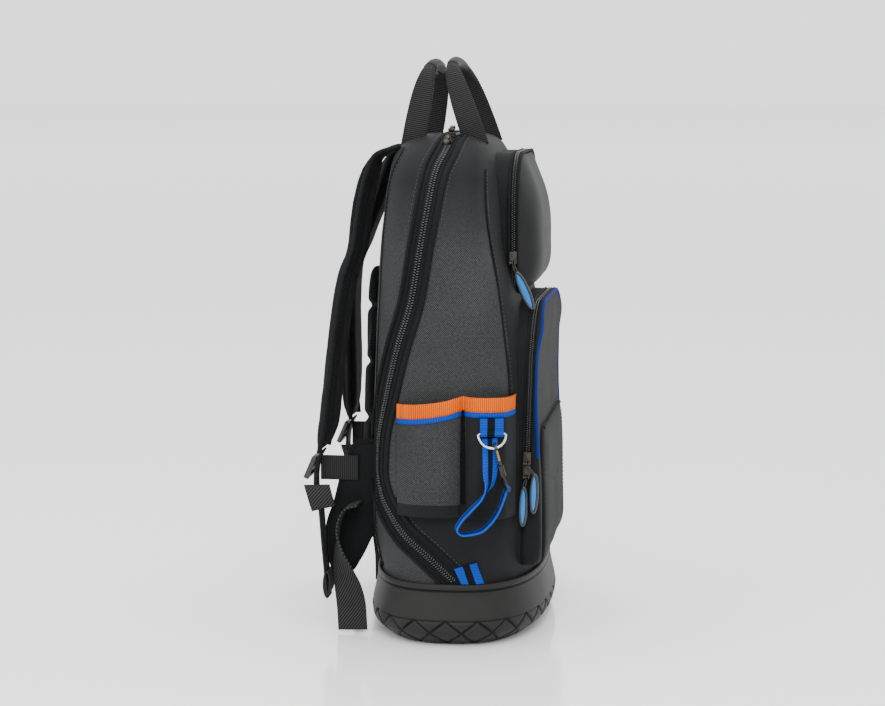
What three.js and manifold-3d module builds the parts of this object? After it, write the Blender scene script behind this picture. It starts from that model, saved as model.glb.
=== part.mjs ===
// Tool backpack on a moulded rubber tub: zipped body, two front pockets, two side
// pockets, padded shoulder straps, hip wings, carry handles and a tool tether.
// Millimetres, +Z up, origin under the middle of the tub; the pockets face -Y,
// the wearer's back is at +Y, and the wearer's left is at -X.

import * as THREE from 'three';
import { mergeVertices } from 'three/addons/utils/BufferGeometryUtils.js';
import Module from 'manifold-3d';

const wasm = await Module();
wasm.setup();

// Clearances between separate pieces
const gap = 0.35;
const seamGap = 0.3;

// Moulded tub
const baseHalfWidth = 170;
const baseHalfDepth = 92;
const baseHeight = 62;
const baseSquareness = 2.6;
const baseWall = 3;
const baseFloor = 4;
const rimInset = 6;
const treadHeight = 26;
const treadRepeats = 27;
const treadGroove = 1.3;
const treadPadShare = 0.87;

// Zipped fabric body
const bodyTop = 500;
const bodyTuck = 12;
const clothWall = 2.5;
const bodyHalfWidth = baseHalfWidth - rimInset - baseWall - gap;
const bodyHalfDepth = baseHalfDepth - rimInset - baseWall - gap;
const bodySeat = baseHeight - bodyTuck;
const bodySteps = 28;
const zipSteps = 16;

// Zippers
const mainTapeWidth = 22;
const coilWidth = 7;
const coilRise = 1.6;
const pocketTapeWidth = 7;
const pocketCoilWidth = 5;
const cornerSteps = 3;
const sideSteps = 3;

// Upper front pocket, a domed moulded shell
const upperHalfWidth = 96;
const upperLow = 345;
const upperHeight = 138;
const upperZipPlane = 58.5;
const upperDome = 22;
const upperTopRadius = 52;
const upperLowRadius = 26;

// Lower front pocket
const lowerHalfWidth = 128;
const lowerLow = 72;
const lowerHeight = 264;
const lowerZipPlane = 78.5;
const lowerZipLean = 0.03;
const lowerZipEnd = 163;
const lowerPanelDepth = 89;
const lowerTopRadius = 64;
const lowerLowRadius = 24;
const pipingWidth = 3;

// Flat slip pocket on the lower front pocket
const patchHalfWidth = 110;
const patchHeight = 135;
const patchLift = 4;
const patchBulge = 5.5;
const patchRadius = 16;

// Side pockets with two cells each
const sidePocketBack = 49;
const sidePocketLength = 115;
const sidePocketLow = 130;
const sidePocketTop = 239;
const sidePocketRise = 9;
const sidePocketDepth = 13;
const sidePocketWall = 2;
const bellyDrop = 0.42;
const bindingHeight = 12;
const bindingCloth = 1.2;
const trimHeight = 5;
const trimCloth = 1;

// Back pad
const padHalfWidth = 104;
const padLow = 150;
const padHeight = 226;
const padThickness = 11;
const padRadius = 24;

// Shoulder straps, webbing and hip wings
const strapWidth = 62;
const strapThickness = 13;
const strapTop = 487;
const strapDrop = 300;
const strapRoot = 76;
const strapBow = 62;
const strapTopHalf = 56;
const strapSpread = 58;
const webbingWidth = 25;
const webbingThickness = 2.2;
const tailDrop = 150;
const foldThickness = 9;
const foldShare = 0.2;
const keeperDrop = 0.3;
const lockDrop = 0.1;
const wingThickness = 6;
const wingOffset = 110;
const wingReach = 42;
const wingLow = 58;
const wingHeight = 138;
const anchorHigh = 0.8;
const waistWidth = 30;
const lockLength = 24;
const lockThickness = 5;
const lockBar = 4;

// Carry handles
const handleHalfSpan = 65;
const handleRise = 78;
const handleWebWidth = 24;
const handleWebThickness = 3;
const handleGrip = 12;
const backHandleFoot = 45;
const backHandleTop = 32;
const frontHandleFoot = -15;
const frontHandleTop = 11;

// Zipper sliders and pulls
const sliderLength = 12;
const sliderWidth = 8;
const sliderHeight = 3;
const pinRadius = 0.9;
const pinClearance = 0.4;
const tagLength = 40;
const tagWidth = 11;
const tagThickness = 3;
const tabLength = 15;
const tabPullWidth = 5.5;
const eyeWidth = 3.4;
const pinHigh = sliderHeight + 3.3;
const pinAlong = sliderLength / 2 - 1;
const upperSliderRise = 0.26;
const upperPullLean = 0.42;
const upperPullLength = tagLength + 11;
const lowerPullLength = tagLength + 10;
const lowerPullWidth = 9.5;

// Tether on the wearer's left side pocket
const tetherRun = 46;
const tabWidth = 23;
const tabCloth = 2.6;
const tabDrop = 15;
const ringWire = 1.25;
const ringRadius = 13.5;
const ringTilt = 0.44;
const hookWire = 2.6;
const hookSlot = 6;
const hookLength = 24;
const hookLean = 0.26;
const gateLength = 11;
const gateThickness = 2;
const swivelLength = 9;
const eyeLength = 13;
const tetherWidth = 15;
const tetherCloth = 2;
const rimTabWidth = 22;
const rimTabHeight = 22;
const rimTabMiddle = -26;
const rimTabLean = 7;

// Materials
const materials = {
  rubber: new THREE.MeshStandardMaterial({ color: '#3b3b3d', roughness: 0.72, metalness: 0 }),
  fabric: new THREE.MeshStandardMaterial({ color: '#2e2f31', roughness: 0.85, metalness: 0 }),
  shell: new THREE.MeshStandardMaterial({ color: '#343537', roughness: 0.7, metalness: 0 }),
  webbing: new THREE.MeshStandardMaterial({ color: '#1f2022', roughness: 0.8, metalness: 0 }),
  mesh: new THREE.MeshStandardMaterial({ color: '#232426', roughness: 0.95, metalness: 0 }),
  coil: new THREE.MeshStandardMaterial({ color: '#161719', roughness: 0.45, metalness: 0 }),
  orange: new THREE.MeshStandardMaterial({ color: '#f07a1c', roughness: 0.75, metalness: 0 }),
  blue: new THREE.MeshStandardMaterial({ color: '#2a5fc0', roughness: 0.7, metalness: 0 }),
  tag: new THREE.MeshStandardMaterial({ color: '#3a97d2', roughness: 0.4, metalness: 0 }),
  steel: new THREE.MeshStandardMaterial({ color: '#b9bcc0', roughness: 0.25, metalness: 1 }),
  darkSteel: new THREE.MeshStandardMaterial({ color: '#2b2b2d', roughness: 0.35, metalness: 1 }),
  nylon: new THREE.MeshStandardMaterial({ color: '#1a1b1c', roughness: 0.5, metalness: 0 }),
};

const backpack = new THREE.Group();

function addPiece(name, shape, material, parent = backpack) {
  const geometry = shape.isBufferGeometry ? shape : geometryOf(shape);
  const piece = new THREE.Mesh(geometry, material);
  piece.name = name;
  parent.add(piece);
  return piece;
}

// Closed geometry from vertices and faces, turned so that its faces point out
function closedGeometry(vertices, faces) {
  let volume = 0;
  for (const [a, b, c] of faces) {
    volume += vertices[a].dot(vertices[b].clone().cross(vertices[c]));
  }
  const turned = volume < 0 ? faces.map(([a, b, c]) => [a, c, b]) : faces;
  const geometry = new THREE.BufferGeometry();
  const positions = vertices.flatMap((vertex) => vertex.toArray());
  geometry.setAttribute('position', new THREE.Float32BufferAttribute(positions, 3));
  geometry.setIndex(turned.flat());
  return geometry;
}

function solidOf(geometry) {
  const bare = geometry.clone();
  bare.deleteAttribute('normal');
  bare.deleteAttribute('uv');
  const merged = mergeVertices(bare, 1e-4);
  return new wasm.Manifold(new wasm.Mesh({
    numProp: 3,
    vertProperties: Float32Array.from(merged.attributes.position.array),
    triVerts: Uint32Array.from(merged.index.array),
  }));
}

function geometryOf(solid) {
  const mesh = solid.getMesh();
  const geometry = new THREE.BufferGeometry();
  geometry.setAttribute('position', new THREE.Float32BufferAttribute(mesh.vertProperties, 3));
  geometry.setIndex(Array.from(mesh.triVerts));
  return geometry;
}

// Skin over rings of equal length: ends capped by a fan, by a flat outline, or joined
function loft(rings, { flat = null, closed = false } = {}) {
  const count = rings[0].length;
  const vertices = rings.flat();
  const faces = [];
  const strips = closed ? rings.length : rings.length - 1;
  for (let i = 0; i < strips; i += 1) {
    const next = (i + 1) % rings.length;
    for (let j = 0; j < count; j += 1) {
      const a = i * count + j;
      const b = i * count + (j + 1) % count;
      const c = next * count + j;
      const d = next * count + (j + 1) % count;
      faces.push([a, b, d], [a, d, c]);
    }
  }
  if (!closed) {
    addCap(vertices, faces, 0, rings[0], flat, true);
    addCap(vertices, faces, (rings.length - 1) * count, rings[rings.length - 1], flat, false);
  }
  return closedGeometry(vertices, faces);
}

function addCap(vertices, faces, start, ring, flat, first) {
  if (flat) {
    for (const face of THREE.ShapeUtils.triangulateShape(ring.map(flat), [])) {
      faces.push(orderLike(face.map((index) => start + index), ring.length, first));
    }
    return;
  }
  const middle = ring.reduce((sum, p) => sum.add(p), new THREE.Vector3()).divideScalar(ring.length);
  const centre = vertices.push(middle) - 1;
  for (let j = 0; j < ring.length; j += 1) {
    const a = start + j;
    const b = start + (j + 1) % ring.length;
    faces.push(first ? [centre, b, a] : [centre, a, b]);
  }
}

// A cap face runs against the ring's own order at the first ring, with it at the last
function orderLike(face, count, first) {
  const steps = face.map((v, i) => (face[(i + 1) % 3] - v + count) % count);
  const forward = steps.reduce((sum, step) => sum + step, 0) === count;
  return forward === first ? [face[0], face[2], face[1]] : face;
}

function lerp(a, b, t) {
  return a + (b - a) * t;
}

// Row of a table at a share, with every column interpolated
function rowAt(rows, key, share) {
  const last = rows.length - 1;
  let i = 0;
  while (i < last - 1 && share > rows[i + 1][key]) i += 1;
  const span = rows[i + 1][key] - rows[i][key];
  const t = Math.min(1, Math.max(0, (share - rows[i][key]) / span));
  const row = {};
  for (const column of Object.keys(rows[i])) row[column] = lerp(rows[i][column], rows[i + 1][column], t);
  return row;
}

function power(value, exponent) {
  return Math.sign(value) * Math.abs(value) ** exponent;
}

// Plan outline with separate front and back depths and a squareness
function planPoint(section, angle, z) {
  const reach = 2 / section.square;
  const x = section.wide * power(Math.cos(angle), reach);
  const side = Math.sin(angle);
  const y = (side < 0 ? section.front : section.back) * power(side, reach);
  return new THREE.Vector3(x, y, z);
}

// Tub: heights and insets of its outer and inner walls, lowest first
const tubOuter = [
  { high: 53, inset: 6 },
  { high: 62, inset: 6.2 },
].map((row) => ({ high: row.high * baseHeight / 62, inset: row.inset * rimInset / 6 }));
const tubFoot = { under: 22, low: 15, middle: 1.6 };

function evenAngles(count) {
  const fine = 1440;
  const section = { wide: baseHalfWidth, front: baseHalfDepth, back: baseHalfDepth, square: baseSquareness };
  const lengths = [0];
  let last = planPoint(section, 0, 0);
  for (let i = 1; i <= fine; i += 1) {
    const point = planPoint(section, 2 * Math.PI * i / fine, 0);
    lengths.push(lengths[i - 1] + point.distanceTo(last));
    last = point;
  }
  const angles = [];
  let i = 0;
  for (let k = 0; k < count; k += 1) {
    const target = lengths[fine] * k / count;
    while (lengths[i + 1] < target) i += 1;
    angles.push(2 * Math.PI * (i + (target - lengths[i]) / (lengths[i + 1] - lengths[i])) / fine);
  }
  return angles;
}

function makeTub() {
  const angles = evenAngles(2 * treadRepeats);
  const count = angles.length;
  const vertices = [];
  const faces = [];
  const addRing = (inset, z) => {
    const start = vertices.length;
    const section = {
      wide: baseHalfWidth - inset, front: baseHalfDepth - inset,
      back: baseHalfDepth - inset, square: baseSquareness,
    };
    angles.forEach((angle) => vertices.push(planPoint(section, angle, z)));
    return start;
  };
  const addStrip = (low, high) => {
    for (let j = 0; j < count; j += 1) {
      const k = (j + 1) % count;
      faces.push([low + j, low + k, high + k], [low + j, high + k, high + j]);
    }
  };
  const addPad = (corners, acrossOdd) => {
    const points = corners.map((index) => vertices[index]);
    const middle = points.reduce((sum, p) => sum.add(p), new THREE.Vector3()).divideScalar(points.length);
    const out = points[2].clone().sub(points[0]).cross(points[3].clone().sub(points[1])).normalize();
    const start = vertices.length;
    for (const point of points) {
      vertices.push(middle.clone().lerp(point, treadPadShare).addScaledVector(out, treadGroove));
    }
    for (let i = 0; i < 4; i += 1) {
      const k = (i + 1) % 4;
      faces.push([corners[i], corners[k], start + k], [corners[i], start + k, start + i]);
    }
    if (acrossOdd) faces.push([start, start + 1, start + 3], [start + 1, start + 2, start + 3]);
    else faces.push([start, start + 1, start + 2], [start, start + 2, start + 3]);
  };
  const under = addRing(tubFoot.under, 0);
  const low = addRing(tubFoot.low + treadGroove, treadHeight / 13);
  const middle = addRing(tubFoot.middle + treadGroove, 7 * treadHeight / 13);
  const high = addRing(treadGroove, treadHeight);
  addStrip(under, low);
  for (let k = 0; k < count; k += 2) {
    const right = (k + 1) % count;
    const next = (k + 2) % count;
    const left = (k + count - 1) % count;
    addPad([middle + k, low + right, middle + next, high + right], true);
    addPad([middle + k, high + right, high + k, high + left], false);
    addPad([middle + k, low + left, low + k, low + right], false);
  }
  let last = high;
  for (const row of tubOuter) {
    const ring = addRing(row.inset, row.high);
    addStrip(last, ring);
    last = ring;
  }
  const inner = [
    { inset: rimInset + baseWall, high: baseHeight },
    { inset: rimInset + baseWall, high: bodySeat },
    { inset: baseWall + 1, high: treadHeight },
    { inset: tubFoot.low + baseWall, high: baseFloor },
  ];
  for (const row of inner) {
    const ring = addRing(row.inset, row.high);
    addStrip(last, ring);
    last = ring;
  }
  const foot = vertices.push(new THREE.Vector3(0, 0, 0)) - 1;
  const floor = vertices.push(new THREE.Vector3(0, 0, baseFloor)) - 1;
  for (let j = 0; j < count; j += 1) {
    const k = (j + 1) % count;
    faces.push([foot, under + k, under + j], [floor, last + j, last + k]);
  }
  const used = [...new Set(faces.flat())];
  const place = new Map(used.map((index, i) => [index, i]));
  return closedGeometry(used.map((index) => vertices[index]), faces.map((face) => face.map((v) => place.get(v))));
}

// Body sections: rise is a share of the body above its seat, wide of the half width,
// front and back of the half depth
const bodyRows = [
  { rise: 0, wide: 0.996, front: 0.992, back: 0.992, square: 2.6 },
  { rise: 0.029, wide: 0.996, front: 0.992, back: 0.992, square: 2.6 },
  { rise: 0.062, wide: 1, front: 0.98, back: 1.025, square: 2.9 },
  { rise: 0.156, wide: 1, front: 0.93, back: 1.035, square: 4.2 },
  { rise: 0.333, wide: 1, front: 0.92, back: 1.02, square: 4.4 },
  { rise: 0.533, wide: 1, front: 0.88, back: 0.99, square: 4.4 },
  { rise: 0.656, wide: 0.995, front: 0.75, back: 0.955, square: 4.3 },
  { rise: 0.778, wide: 0.985, front: 0.585, back: 0.92, square: 4.1 },
  { rise: 0.844, wide: 0.965, front: 0.57, back: 0.90, square: 3.8 },
  { rise: 0.900, wide: 0.91, front: 0.53, back: 0.875, square: 3.5 },
  { rise: 0.944, wide: 0.82, front: 0.48, back: 0.84, square: 3.3 },
  { rise: 0.978, wide: 0.69, front: 0.40, back: 0.77, square: 3.1 },
  { rise: 0.993, wide: 0.57, front: 0.31, back: 0.68, square: 3 },
  { rise: 1, wide: 0.46, front: 0.22, back: 0.59, square: 3 },
];

function bodySection(z, grow) {
  const row = rowAt(bodyRows, 'rise', (z - bodySeat) / (bodyTop - bodySeat));
  return {
    wide: row.wide * bodyHalfWidth + grow, front: row.front * bodyHalfDepth + grow,
    back: row.back * bodyHalfDepth + grow, square: row.square,
  };
}

function sideOf(y, z, grow = 0) {
  const section = bodySection(z, grow);
  const depth = y < 0 ? section.front : section.back;
  const share = Math.min(1, Math.abs(y) / depth);
  return section.wide * (1 - share ** section.square) ** (1 / section.square);
}

function faceOf(x, z, face, grow = 0) {
  const section = bodySection(z, grow);
  const share = Math.min(1, Math.abs(x) / section.wide);
  return section[face] * (1 - share ** section.square) ** (1 / section.square);
}

// Body solid with its skin moved out by grow, reaching down by deeper
function bodySolid(grow, deeper = 0) {
  const stretch = 1 + grow / (bodyTop - bodySeat);
  const rings = bodyRows.map((row) => {
    const z = lerp(bodySeat, bodyTop, row.rise);
    const section = bodySection(z, grow);
    const lifted = row.rise === 0 ? bodySeat - deeper : bodySeat + (z - bodySeat) * stretch;
    return Array.from({ length: bodySteps }, (_, j) => planPoint(section, 2 * Math.PI * j / bodySteps, lifted));
  });
  return solidOf(loft(rings));
}

const nearBody = bodySolid(gap, 2 * bodyTuck);

function clearOfBody(solid) {
  return solid.subtract(nearBody);
}

// Main zipper: a swoop seen from the side, rise as a share of the body above its seat,
// reach as a share of the half depth
const zipRows = [
  { rise: 1.04, reach: 0.02 },
  { rise: 0.978, reach: 0.07 },
  { rise: 0.932, reach: 0.16 },
  { rise: 0.849, reach: 0.235 },
  { rise: 0.759, reach: 0.32 },
  { rise: 0.651, reach: 0.42 },
  { rise: 0.54, reach: 0.6 },
  { rise: 0.427, reach: 0.75 },
  { rise: 0.329, reach: 0.855 },
  { rise: 0.27, reach: 0.87 },
  { rise: 0.218, reach: 0.81 },
  { rise: 0.171, reach: 0.665 },
  { rise: 0.131, reach: 0.5 },
  { rise: 0.091, reach: 0.25 },
  { rise: 0.047, reach: -0.01 },
  { rise: 0.01, reach: -0.2 },
  { rise: -0.05, reach: -0.48 },
];

function zipLine() {
  const points = zipRows.map((row) => new THREE.Vector3(0, row.reach * bodyHalfDepth,
    lerp(bodySeat, bodyTop, row.rise)));
  return new THREE.CatmullRomCurve3(points, false, 'centripetal').getPoints(zipSteps);
}

function zipEdge(offset) {
  const line = zipLine();
  return line.map((point, i) => {
    const before = line[Math.max(0, i - 1)];
    const after = line[Math.min(line.length - 1, i + 1)];
    const along = after.clone().sub(before).normalize();
    return new THREE.Vector2(point.y - along.z * offset, point.z + along.y * offset);
  });
}

// Slab right across the body whose outline is drawn in (y, z)
function acrossSlab(outline, low = -2 * baseHalfWidth, high = 2 * baseHalfWidth) {
  const geometry = new THREE.ExtrudeGeometry(new THREE.Shape(outline), {
    depth: high - low, bevelEnabled: false, steps: 1,
  });
  geometry.applyMatrix4(new THREE.Matrix4().makeBasis(
    new THREE.Vector3(0, 1, 0), new THREE.Vector3(0, 0, 1), new THREE.Vector3(1, 0, 0)));
  geometry.translate(low, 0, 0);
  return solidOf(geometry);
}

function boxSolid(low, high) {
  const geometry = new THREE.BoxGeometry(high[0] - low[0], high[1] - low[1], high[2] - low[2]);
  geometry.translate((low[0] + high[0]) / 2, (low[1] + high[1]) / 2, (low[2] + high[2]) / 2);
  return solidOf(geometry);
}

function rodSolid(radius, from, to, sides = 10) {
  const length = from.distanceTo(to);
  const geometry = new THREE.CylinderGeometry(radius, radius, length, sides);
  const turn = new THREE.Quaternion().setFromUnitVectors(
    new THREE.Vector3(0, 1, 0), to.clone().sub(from).normalize());
  geometry.applyQuaternion(turn);
  const middle = from.clone().lerp(to, 0.5);
  geometry.translate(middle.x, middle.y, middle.z);
  return solidOf(geometry);
}

function makeBody() {
  const far = 3 * baseHalfDepth;
  const cloth = bodySolid(0).subtract(bodySolid(-clothWall, 2 * bodyTuck));
  const half = mainTapeWidth / 2;
  const backEdge = zipEdge(half + seamGap);
  const frontEdge = zipEdge(-(half + seamGap));
  const high = bodyTop + far;
  const backSlab = acrossSlab([...backEdge, new THREE.Vector2(far, -far), new THREE.Vector2(far, high),
    new THREE.Vector2(backEdge[0].x, high)]);
  const frontSlab = acrossSlab([...frontEdge, new THREE.Vector2(-far, -far), new THREE.Vector2(-far, high),
    new THREE.Vector2(frontEdge[0].x, high)]);
  const tapeSlab = acrossSlab([...zipEdge(-half), ...zipEdge(half).reverse()]);
  const coilSlab = acrossSlab([...zipEdge(-coilWidth / 2), ...zipEdge(coilWidth / 2).reverse()]);
  const aboveRim = boxSolid([-far, -far, baseHeight + coilRise], [far, far, 2 * bodyTop]);
  const ridge = bodySolid(coilRise).subtract(bodySolid(-clothWall / 2, bodyTuck))
    .intersect(coilSlab).intersect(aboveRim);
  addPiece('back_shell', cloth.intersect(backSlab), materials.fabric);
  addPiece('front_shell', cloth.intersect(frontSlab), materials.fabric);
  addPiece('main_zipper', cloth.intersect(tapeSlab).add(ridge), materials.coil);
}

// Upright pocket outline in (x, z): rounded corners, sides in even steps
function pocketOutline(half, low, high, topRadius, lowRadius, inset = {}) {
  const { side = 0, top = 0, bottom = 0 } = inset;
  const x = half - side;
  const zTop = high - top;
  const zLow = low + bottom;
  const room = Math.min(x, (zTop - zLow) / 2.2);
  const rTop = Math.max(1, Math.min(topRadius - Math.min(side, top) / 2, room));
  const rLow = Math.max(1, Math.min(lowRadius - Math.min(side, bottom) / 2, room));
  const points = [];
  const addCorner = (cx, cz, radius, from) => {
    for (let i = 0; i <= cornerSteps; i += 1) {
      const angle = from + Math.PI / 2 * i / cornerSteps;
      points.push(new THREE.Vector2(cx + radius * Math.cos(angle), cz + radius * Math.sin(angle)));
    }
  };
  const addSide = (px, from, to) => {
    for (let i = 1; i < sideSteps; i += 1) points.push(new THREE.Vector2(px, lerp(from, to, i / sideSteps)));
  };
  addCorner(x - rLow, zLow + rLow, rLow, -Math.PI / 2);
  addSide(x, zLow + rLow, zTop - rTop);
  addCorner(x - rTop, zTop - rTop, rTop, 0);
  addCorner(-x + rTop, zTop - rTop, rTop, Math.PI / 2);
  addSide(-x, zTop - rTop, zLow + rLow);
  addCorner(-x + rLow, zLow + rLow, rLow, Math.PI);
  return points;
}

function uprightRing(outline, depthOf) {
  return outline.map((point) => new THREE.Vector3(point.x, -depthOf(point.y), point.y));
}

// Wall of a pocket between two depths, of the outline given by inset
function pocketBand(outlineOf, shallow, deep, wall) {
  const outer = loft([uprightRing(outlineOf(0), shallow), uprightRing(outlineOf(0), deep)]);
  const inner = loft([uprightRing(outlineOf(wall), (z) => shallow(z) - wall),
    uprightRing(outlineOf(wall), (z) => deep(z) + wall)]);
  return solidOf(outer).subtract(solidOf(inner));
}

function upperOutline(inset) {
  return pocketOutline(upperHalfWidth, upperLow, upperLow + upperHeight, upperTopRadius, upperLowRadius,
    { side: inset, top: inset, bottom: inset });
}

// Dome of the upper pocket: depth as a share of the dome, insets as shares of the height
const domeRows = [
  { depth: 0, top: 0, side: 0, bottom: 0 },
  { depth: 0.2, top: 0.07, side: 0.022, bottom: 0.01 },
  { depth: 0.42, top: 0.15, side: 0.055, bottom: 0.03 },
  { depth: 0.66, top: 0.245, side: 0.1, bottom: 0.06 },
  { depth: 0.86, top: 0.36, side: 0.18, bottom: 0.12 },
  { depth: 0.96, top: 0.46, side: 0.27, bottom: 0.18 },
  { depth: 1, top: 0.56, side: 0.4, bottom: 0.27 },
];

function upperDomeSolid(wall) {
  const start = upperZipPlane + pocketTapeWidth / 2 + gap;
  const rows = wall > 0 ? domeRows.filter((row, i) => i % 2 === 0) : domeRows;
  const rings = rows.map((row, i) => {
    const outline = pocketOutline(upperHalfWidth, upperLow, upperLow + upperHeight, upperTopRadius,
      upperLowRadius, {
        side: row.side * upperHeight + wall, top: row.top * upperHeight + wall,
        bottom: row.bottom * upperHeight + wall,
      });
    const depth = i === 0 ? start - wall : start + row.depth * upperDome - wall;
    return uprightRing(outline, () => depth);
  });
  return solidOf(loft(rings));
}

function makeUpperPocket() {
  const tape = pocketTapeWidth / 2;
  const root = () => bodyHalfDepth * 0.2;
  const edge = () => upperZipPlane - tape;
  const gusset = pocketBand(upperOutline, root, edge, clothWall);
  const zip = pocketBand(upperOutline, () => upperZipPlane - tape + gap, () => upperZipPlane + tape, clothWall);
  const ridge = pocketBand((inset) => upperOutline(inset - coilRise),
    () => upperZipPlane - pocketCoilWidth / 2, () => upperZipPlane + pocketCoilWidth / 2,
    clothWall + coilRise / 2);
  addPiece('upper_pocket_gusset', clearOfBody(gusset), materials.fabric);
  addPiece('upper_pocket_zipper', largestOf(clearOfBody(zip.add(ridge))), materials.coil);
  addPiece('upper_pocket_shell', clearOfBody(upperDomeSolid(0).subtract(upperDomeSolid(clothWall))),
    materials.shell);
}

// The one piece of a cut solid that holds most of it
function largestOf(solid) {
  const parts = solid.decompose();
  return parts.reduce((best, part) => (part.volume() > best.volume() ? part : best));
}

function lowerOutline(inset) {
  return pocketOutline(lowerHalfWidth, lowerLow, lowerLow + lowerHeight, lowerTopRadius, lowerLowRadius,
    { side: inset, top: inset, bottom: inset });
}

function lowerZipDepth(z) {
  return lowerZipPlane + (z - lowerLow - 0.67 * lowerHeight) * lowerZipLean;
}

// Front of the lower pocket: depth as a share of the panel's depth, by height
const lowerFrontRows = [
  { rise: 0, front: 0.985 },
  { rise: 0.12, front: 1.005 },
  { rise: 0.45, front: 0.985 },
  { rise: 0.66, front: 0.98 },
  { rise: 0.9, front: 1.005 },
  { rise: 1, front: 1 },
];

function lowerFrontDepth(z) {
  return rowAt(lowerFrontRows, 'rise', (z - lowerLow) / lowerHeight).front * lowerPanelDepth;
}

function lowerPanelSolid(wall) {
  const start = (z) => lowerZipDepth(z) + pocketTapeWidth / 2 + gap - wall;
  const front = (z) => lowerFrontDepth(z) - wall;
  const rings = [
    uprightRing(lowerOutline(wall), start),
    uprightRing(lowerOutline(wall + 0.5), (z) => Math.max(start(z) + 0.5, front(z) - 4)),
    uprightRing(lowerOutline(wall + 4.5), (z) => Math.max(start(z) + 1, front(z))),
    uprightRing(lowerOutline(wall + 45), front),
  ];
  return solidOf(loft(rings));
}

function pipingLine(radius) {
  const ring = lowerOutline(2.2);
  const high = ring.filter((point) => point.y > lowerZipEnd);
  const start = high.findIndex((point) => point.x > 0);
  const path = [...high.slice(start), ...high.slice(0, start)].map((point) => new THREE.Vector3(
    point.x, -(lowerFrontDepth(point.y) - 1.2), point.y));
  const sections = path.map((point, i) => {
    const along = alongPath(path, i);
    const across = new THREE.Vector3(0, 1, 0).cross(along).normalize();
    return roundSection(point, across, new THREE.Vector3(0, 1, 0), radius, 6);
  });
  return solidOf(loft(sections));
}

function makeLowerPocket() {
  const tape = pocketTapeWidth / 2;
  const far = 3 * baseHalfWidth;
  const split = lowerZipEnd;
  const above = boxSolid([-far, -far, split + gap], [far, far, 2 * bodyTop]);
  const below = boxSolid([-far, -far, -far], [far, far, split]);
  const root = () => bodyHalfDepth * 0.45;
  const gusset = pocketBand(lowerOutline, root, (z) => lowerZipDepth(z) - tape, clothWall);
  const fill = pocketBand(lowerOutline, (z) => lowerZipDepth(z) - tape - 1,
    (z) => lowerZipDepth(z) + tape, clothWall).intersect(below);
  const zip = pocketBand(lowerOutline, (z) => lowerZipDepth(z) - tape + gap,
    (z) => lowerZipDepth(z) + tape, clothWall);
  const ridge = pocketBand((inset) => lowerOutline(inset - coilRise),
    (z) => lowerZipDepth(z) - pocketCoilWidth / 2, (z) => lowerZipDepth(z) + pocketCoilWidth / 2,
    clothWall + coilRise / 2);
  const piping = pipingLine(pipingWidth / 2);
  const panel = lowerPanelSolid(0).subtract(lowerPanelSolid(clothWall));
  addPiece('lower_pocket_gusset', largestOf(clearOfBody(gusset.add(fill))), materials.fabric);
  addPiece('lower_pocket_zipper', largestOf(clearOfBody(zip.add(ridge).intersect(above))), materials.coil);
  addPiece('lower_pocket_panel', largestOf(clearOfBody(panel).subtract(pipingLine(pipingWidth / 2 + gap))),
    materials.fabric);
  addPiece('lower_pocket_piping', piping, materials.blue);
}

function makePatchPocket() {
  const low = lowerLow + patchLift;
  const outlineOf = (inset) => pocketOutline(patchHalfWidth, low, low + patchHeight, patchRadius,
    patchRadius, { side: inset, top: inset, bottom: inset });
  const back = (z) => lowerFrontDepth(z) - 2;
  const rings = [
    uprightRing(outlineOf(0), back),
    uprightRing(outlineOf(0), (z) => lowerFrontDepth(z) + gap + clothWall),
    uprightRing(outlineOf(9), (z) => lowerFrontDepth(z) + gap + patchBulge - 1),
    uprightRing(outlineOf(30), (z) => lowerFrontDepth(z) + gap + patchBulge),
  ];
  addPiece('front_patch_pocket', solidOf(loft(rings)).subtract(lowerPanelSolid(-gap)), materials.fabric);
}

// Side pocket rows along the mouth from the back to the front: run as a share of the
// length, mouth and belly of the depth, rise of the top edge's rise
const sideRows = [
  { run: 0, mouth: 0.03, belly: 0.03, rise: 0 },
  { run: 0.05, mouth: 0.3, belly: 0.35, rise: 0.02 },
  { run: 0.15, mouth: 0.75, belly: 0.85, rise: 0.1 },
  { run: 0.3, mouth: 0.95, belly: 1.05, rise: 0.3 },
  { run: 0.44, mouth: 0.8, belly: 0.9, rise: 0.6 },
  { run: 0.53, mouth: 0.45, belly: 0.5, rise: 0.9 },
  { run: 0.575, mouth: 0.06, belly: 0.06, rise: 1 },
  { run: 0.62, mouth: 0.5, belly: 0.5, rise: 1 },
  { run: 0.7, mouth: 0.85, belly: 0.9, rise: 1 },
  { run: 0.82, mouth: 0.95, belly: 1, rise: 1 },
  { run: 0.93, mouth: 0.85, belly: 0.9, rise: 1 },
  { run: 1, mouth: 0.03, belly: 0.03, rise: 1 },
];

function sideRow(run) {
  const row = rowAt(sideRows, 'run', run);
  const top = sidePocketTop + row.rise * sidePocketRise;
  return { ...row, y: sidePocketBack - run * sidePocketLength, top };
}

// How far the wall's inner face stands off the body at a height
function wallStand(row, z) {
  const drop = (row.top - z) / (row.top - sidePocketLow);
  const mouth = row.mouth * sidePocketDepth;
  const belly = row.belly * sidePocketDepth;
  return gap + (drop < bellyDrop ? lerp(mouth, belly, drop / bellyDrop)
    : lerp(belly, 0.8 * belly, (drop - bellyDrop) / (1 - bellyDrop)));
}

function sidePoint(side, row, z, stand) {
  return new THREE.Vector3(side * sideOf(row.y, z, stand), row.y, z);
}

function sideLoft(side, profileOf) {
  const rings = sideRows.map((entry) => {
    const row = sideRow(entry.run);
    return profileOf(row).map(([z, stand]) => sidePoint(side, row, z, stand));
  });
  return solidOf(loft(rings, { flat: (point) => new THREE.Vector2(point.x, point.z) }));
}

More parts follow.
